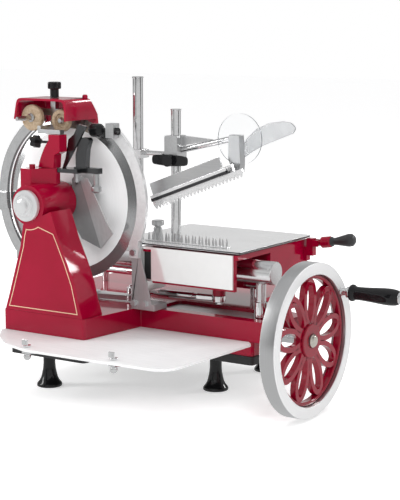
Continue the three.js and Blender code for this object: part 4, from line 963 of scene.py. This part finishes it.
def makeComb():
    # A painted highlight band runs along the foot of the plate's front face, over a strip painted
    # dark as a dark reflection
    v = comb
    lean = math.radians(v["slope"])
    across = Vector((-math.sin(lean), 0, math.cos(lean)))
    spot = place(v["pivot"][0], 0, v["pivot"][1]) + across * v["split"] * 0.001
    bm = mergedSolid("press_plate")
    softenEdges(bm, 1.1)
    for lift in (0, v["ledge"] * 0.001):
        bmesh.ops.bisect_plane(bm, geom=bm.verts[:] + bm.edges[:] + bm.faces[:], dist=1e-6,
                               plane_co=spot + across * lift, plane_no=across)
    front = place(0, v["front"], 0).y
    for face in bm.faces:
        middle = face.calc_center_median()
        height = (middle - spot).dot(across) * 1000
        # front faces: painted dark reflection below the split, painted highlight band above it
        if middle.y < front:
            face.material_index = 1 if height < 0 else 2 if height < v["ledge"] else 0
    for face in bm.faces:  # the narrow rounded edges get a painted highlight
        if face.calc_area() < v["narrow"] and face.material_index == 0:
            face.material_index = 2
    finishPiece("pressComb", bm, ["pressSteel", "darkSteel", "brushedPlate"], "press_plate",
                turnOut=False)


shadeBlock = {"x": (-45.6, -26.4), "y": (-38, -24), "z": (222, 276.6)}


def makeShadeBlock():
    # A black block put into the recess between the bright end plate and the front panel, as painted
    # shade
    bm = bmesh.new()
    (x0, x1), (y0, y1), (z0, z1) = shadeBlock["x"], shadeBlock["y"], shadeBlock["z"]
    addBox(bm, x0, x1, y0, y1, z0, z1)
    softenEdges(bm, 1.2)
    addBox(bm, x1 - 4.4, x1 - 2.6, y0 - 1.2, y0 + 0.4, z0 + 3, z1 - 3)
    finishPiece("carriageShadeBlock", bm, "blackPan", body="carriage_unit")


clipTabs = {
    "spots": {"clipTabLeft": (-128, -277.6), "clipTabRight": (55, -272.6)},
    "lip": (6.5, 1.2), "lipHeight": (132.6, 143), "rib": (2.2, 2), "ribHeight": (136, 139.4),
}


def makeClipTabs():
    # Upright lips that keep the tray from sliding off its clips
    (lipX, lipY), (ribX, ribY) = clipTabs["lip"], clipTabs["rib"]
    for name, (x, y) in clipTabs["spots"].items():
        bm = bmesh.new()
        addBox(bm, x - lipX, x + lipX, y - lipY, y + lipY, *clipTabs["lipHeight"])
        softenEdges(bm, 0.9, 3)
        addBox(bm, x - ribX, x + ribX, y - ribY, y + ribY, *clipTabs["ribHeight"])
        finishPiece(name, bm, "brightChrome", body="base")


rodTube = {"start": (-102.6, 5.3, 188), "turn": 6.6, "from": 50, "to": 134, "radius": 6.7,
           "inner": 4.7}


def makeRodTube():
    # The thicker middle of the connecting rod, with a step at each end
    v = rodTube
    r, a, b, inner = v["radius"], v["from"], v["to"], v["inner"]
    bm = bmesh.new()
    addTurned(bm, ((inner, a), (r - 1.4, a), (r - 1, a + 0.5), (r - 1, a + 4), (r, a + 5),
                   (r, b - 9), (r - 1, b - 8), (r - 1.6, b), (inner, b), (inner, a)),
              "x", v["start"], 32, Matrix.Rotation(math.radians(v["turn"]), 4, "Z"))
    finishPiece("rodTube", bm, "brightChrome", body="rod", smooth=30)


def dressMarked():
    # Solids whose faces take different looks
    for node, (look, width, segments) in dressing.items():
        cadCopy(node, look, width, segments)
    cover, gap, strap = place(0, -121, 0).y, place(-24, 30, 0), place(0, -58, 0).y
    inner = innerFace(bladeX, bladeZ)

    def towerCover(face):
        near = abs(face.calc_center_median().y - cover) < 0.002
        return 1 if face.normal.y > 0.7 and near else 0

    # Carriage faces in the recess left of the front panel are painted black over the red paint:
    # painted shade of the recess
    def carriageRecessShade(face):
        spot = face.calc_center_median()
        return 1 if spot.x < gap.x and spot.y < gap.y else 0

    def sheetEdge(face):
        return 1 if abs(face.normal.y) < 0.7 else 0

    # The food plate's upright side faces are painted dark: painted shadow of the gap under its edge
    def plateShadowEdge(face):
        return 1 if abs(face.normal.z) < 0.3 else 0

    # The deflector's front leaf takes the darker copy of its steel: painted shade
    def shadedFrontLeaf(face):
        return 1 if face.normal.y < -0.98 else 0

    def rightRing(face):
        return 2 if face.calc_center_median().y < strap else inner(face)

    cadCopy("tower_column", ["enamelRed", "satinSteel"], 2.2, 3, towerCover)
    cadCopy("carriage", ["enamelRed", "blackPan"], 0.8, 2, carriageRecessShade)
    makeComb()
    makeShadeBlock()
    makeClipTabs()
    makeRodTube()
    cadCopy("blade", ["bladeMetal", "bladeBevel"], 0, 1, edgeBevel(bladeX, bladeZ, bladeFlat))
    # The edges of both clear sheets take the painted grey edge: painted shade
    cadCopy("hand_guard", ["clearAcrylic", "acrylicEdge"], 0, 1, outerFace(*handDisc))
    cadCopy("paddle_handle", ["dulledAcrylic", "acrylicEdge"], 0, 1, sheetEdge)
    cadCopy("slice_deflector", ["deflectorSteel", "leafShade"], 0.8, 3, shadedFrontLeaf)
    cadCopy("guard_ring_right", ["ringSteel", "ringBevel", "satinSteel"], 1.0, 2, rightRing)
    # The left arc takes the darker copy of the ring steel: painted shade
    cadCopy("guard_ring_left", ["ringShade", "ringBevel"], 1.0, 2, inner)
    cadCopy("food_plate", ["brushedPlate", "darkSteel"], 0.9, 2, plateShadowEdge)


def dressRest():
    # Every node that nothing replaces yet gets a softened copy in its slot's look
    done = {name for piece in bpy.data.objects for name in piece.get("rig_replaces", [])}
    for node in nodeOf:
        if node not in done:
            cadCopy(node)


makeFeet()
makeRim()
makeSpider()
makeHandle()
print("feet and flywheel ready")
makeStones()
makeTopKnob()
makeCap()
makePinstripes()
print("tower and sharpener ready")
makeSpikes()
makePosts()
makeGuideRod()
dressMarked()
print("carriage and press ready")
dressRest()
print("pieces ready")
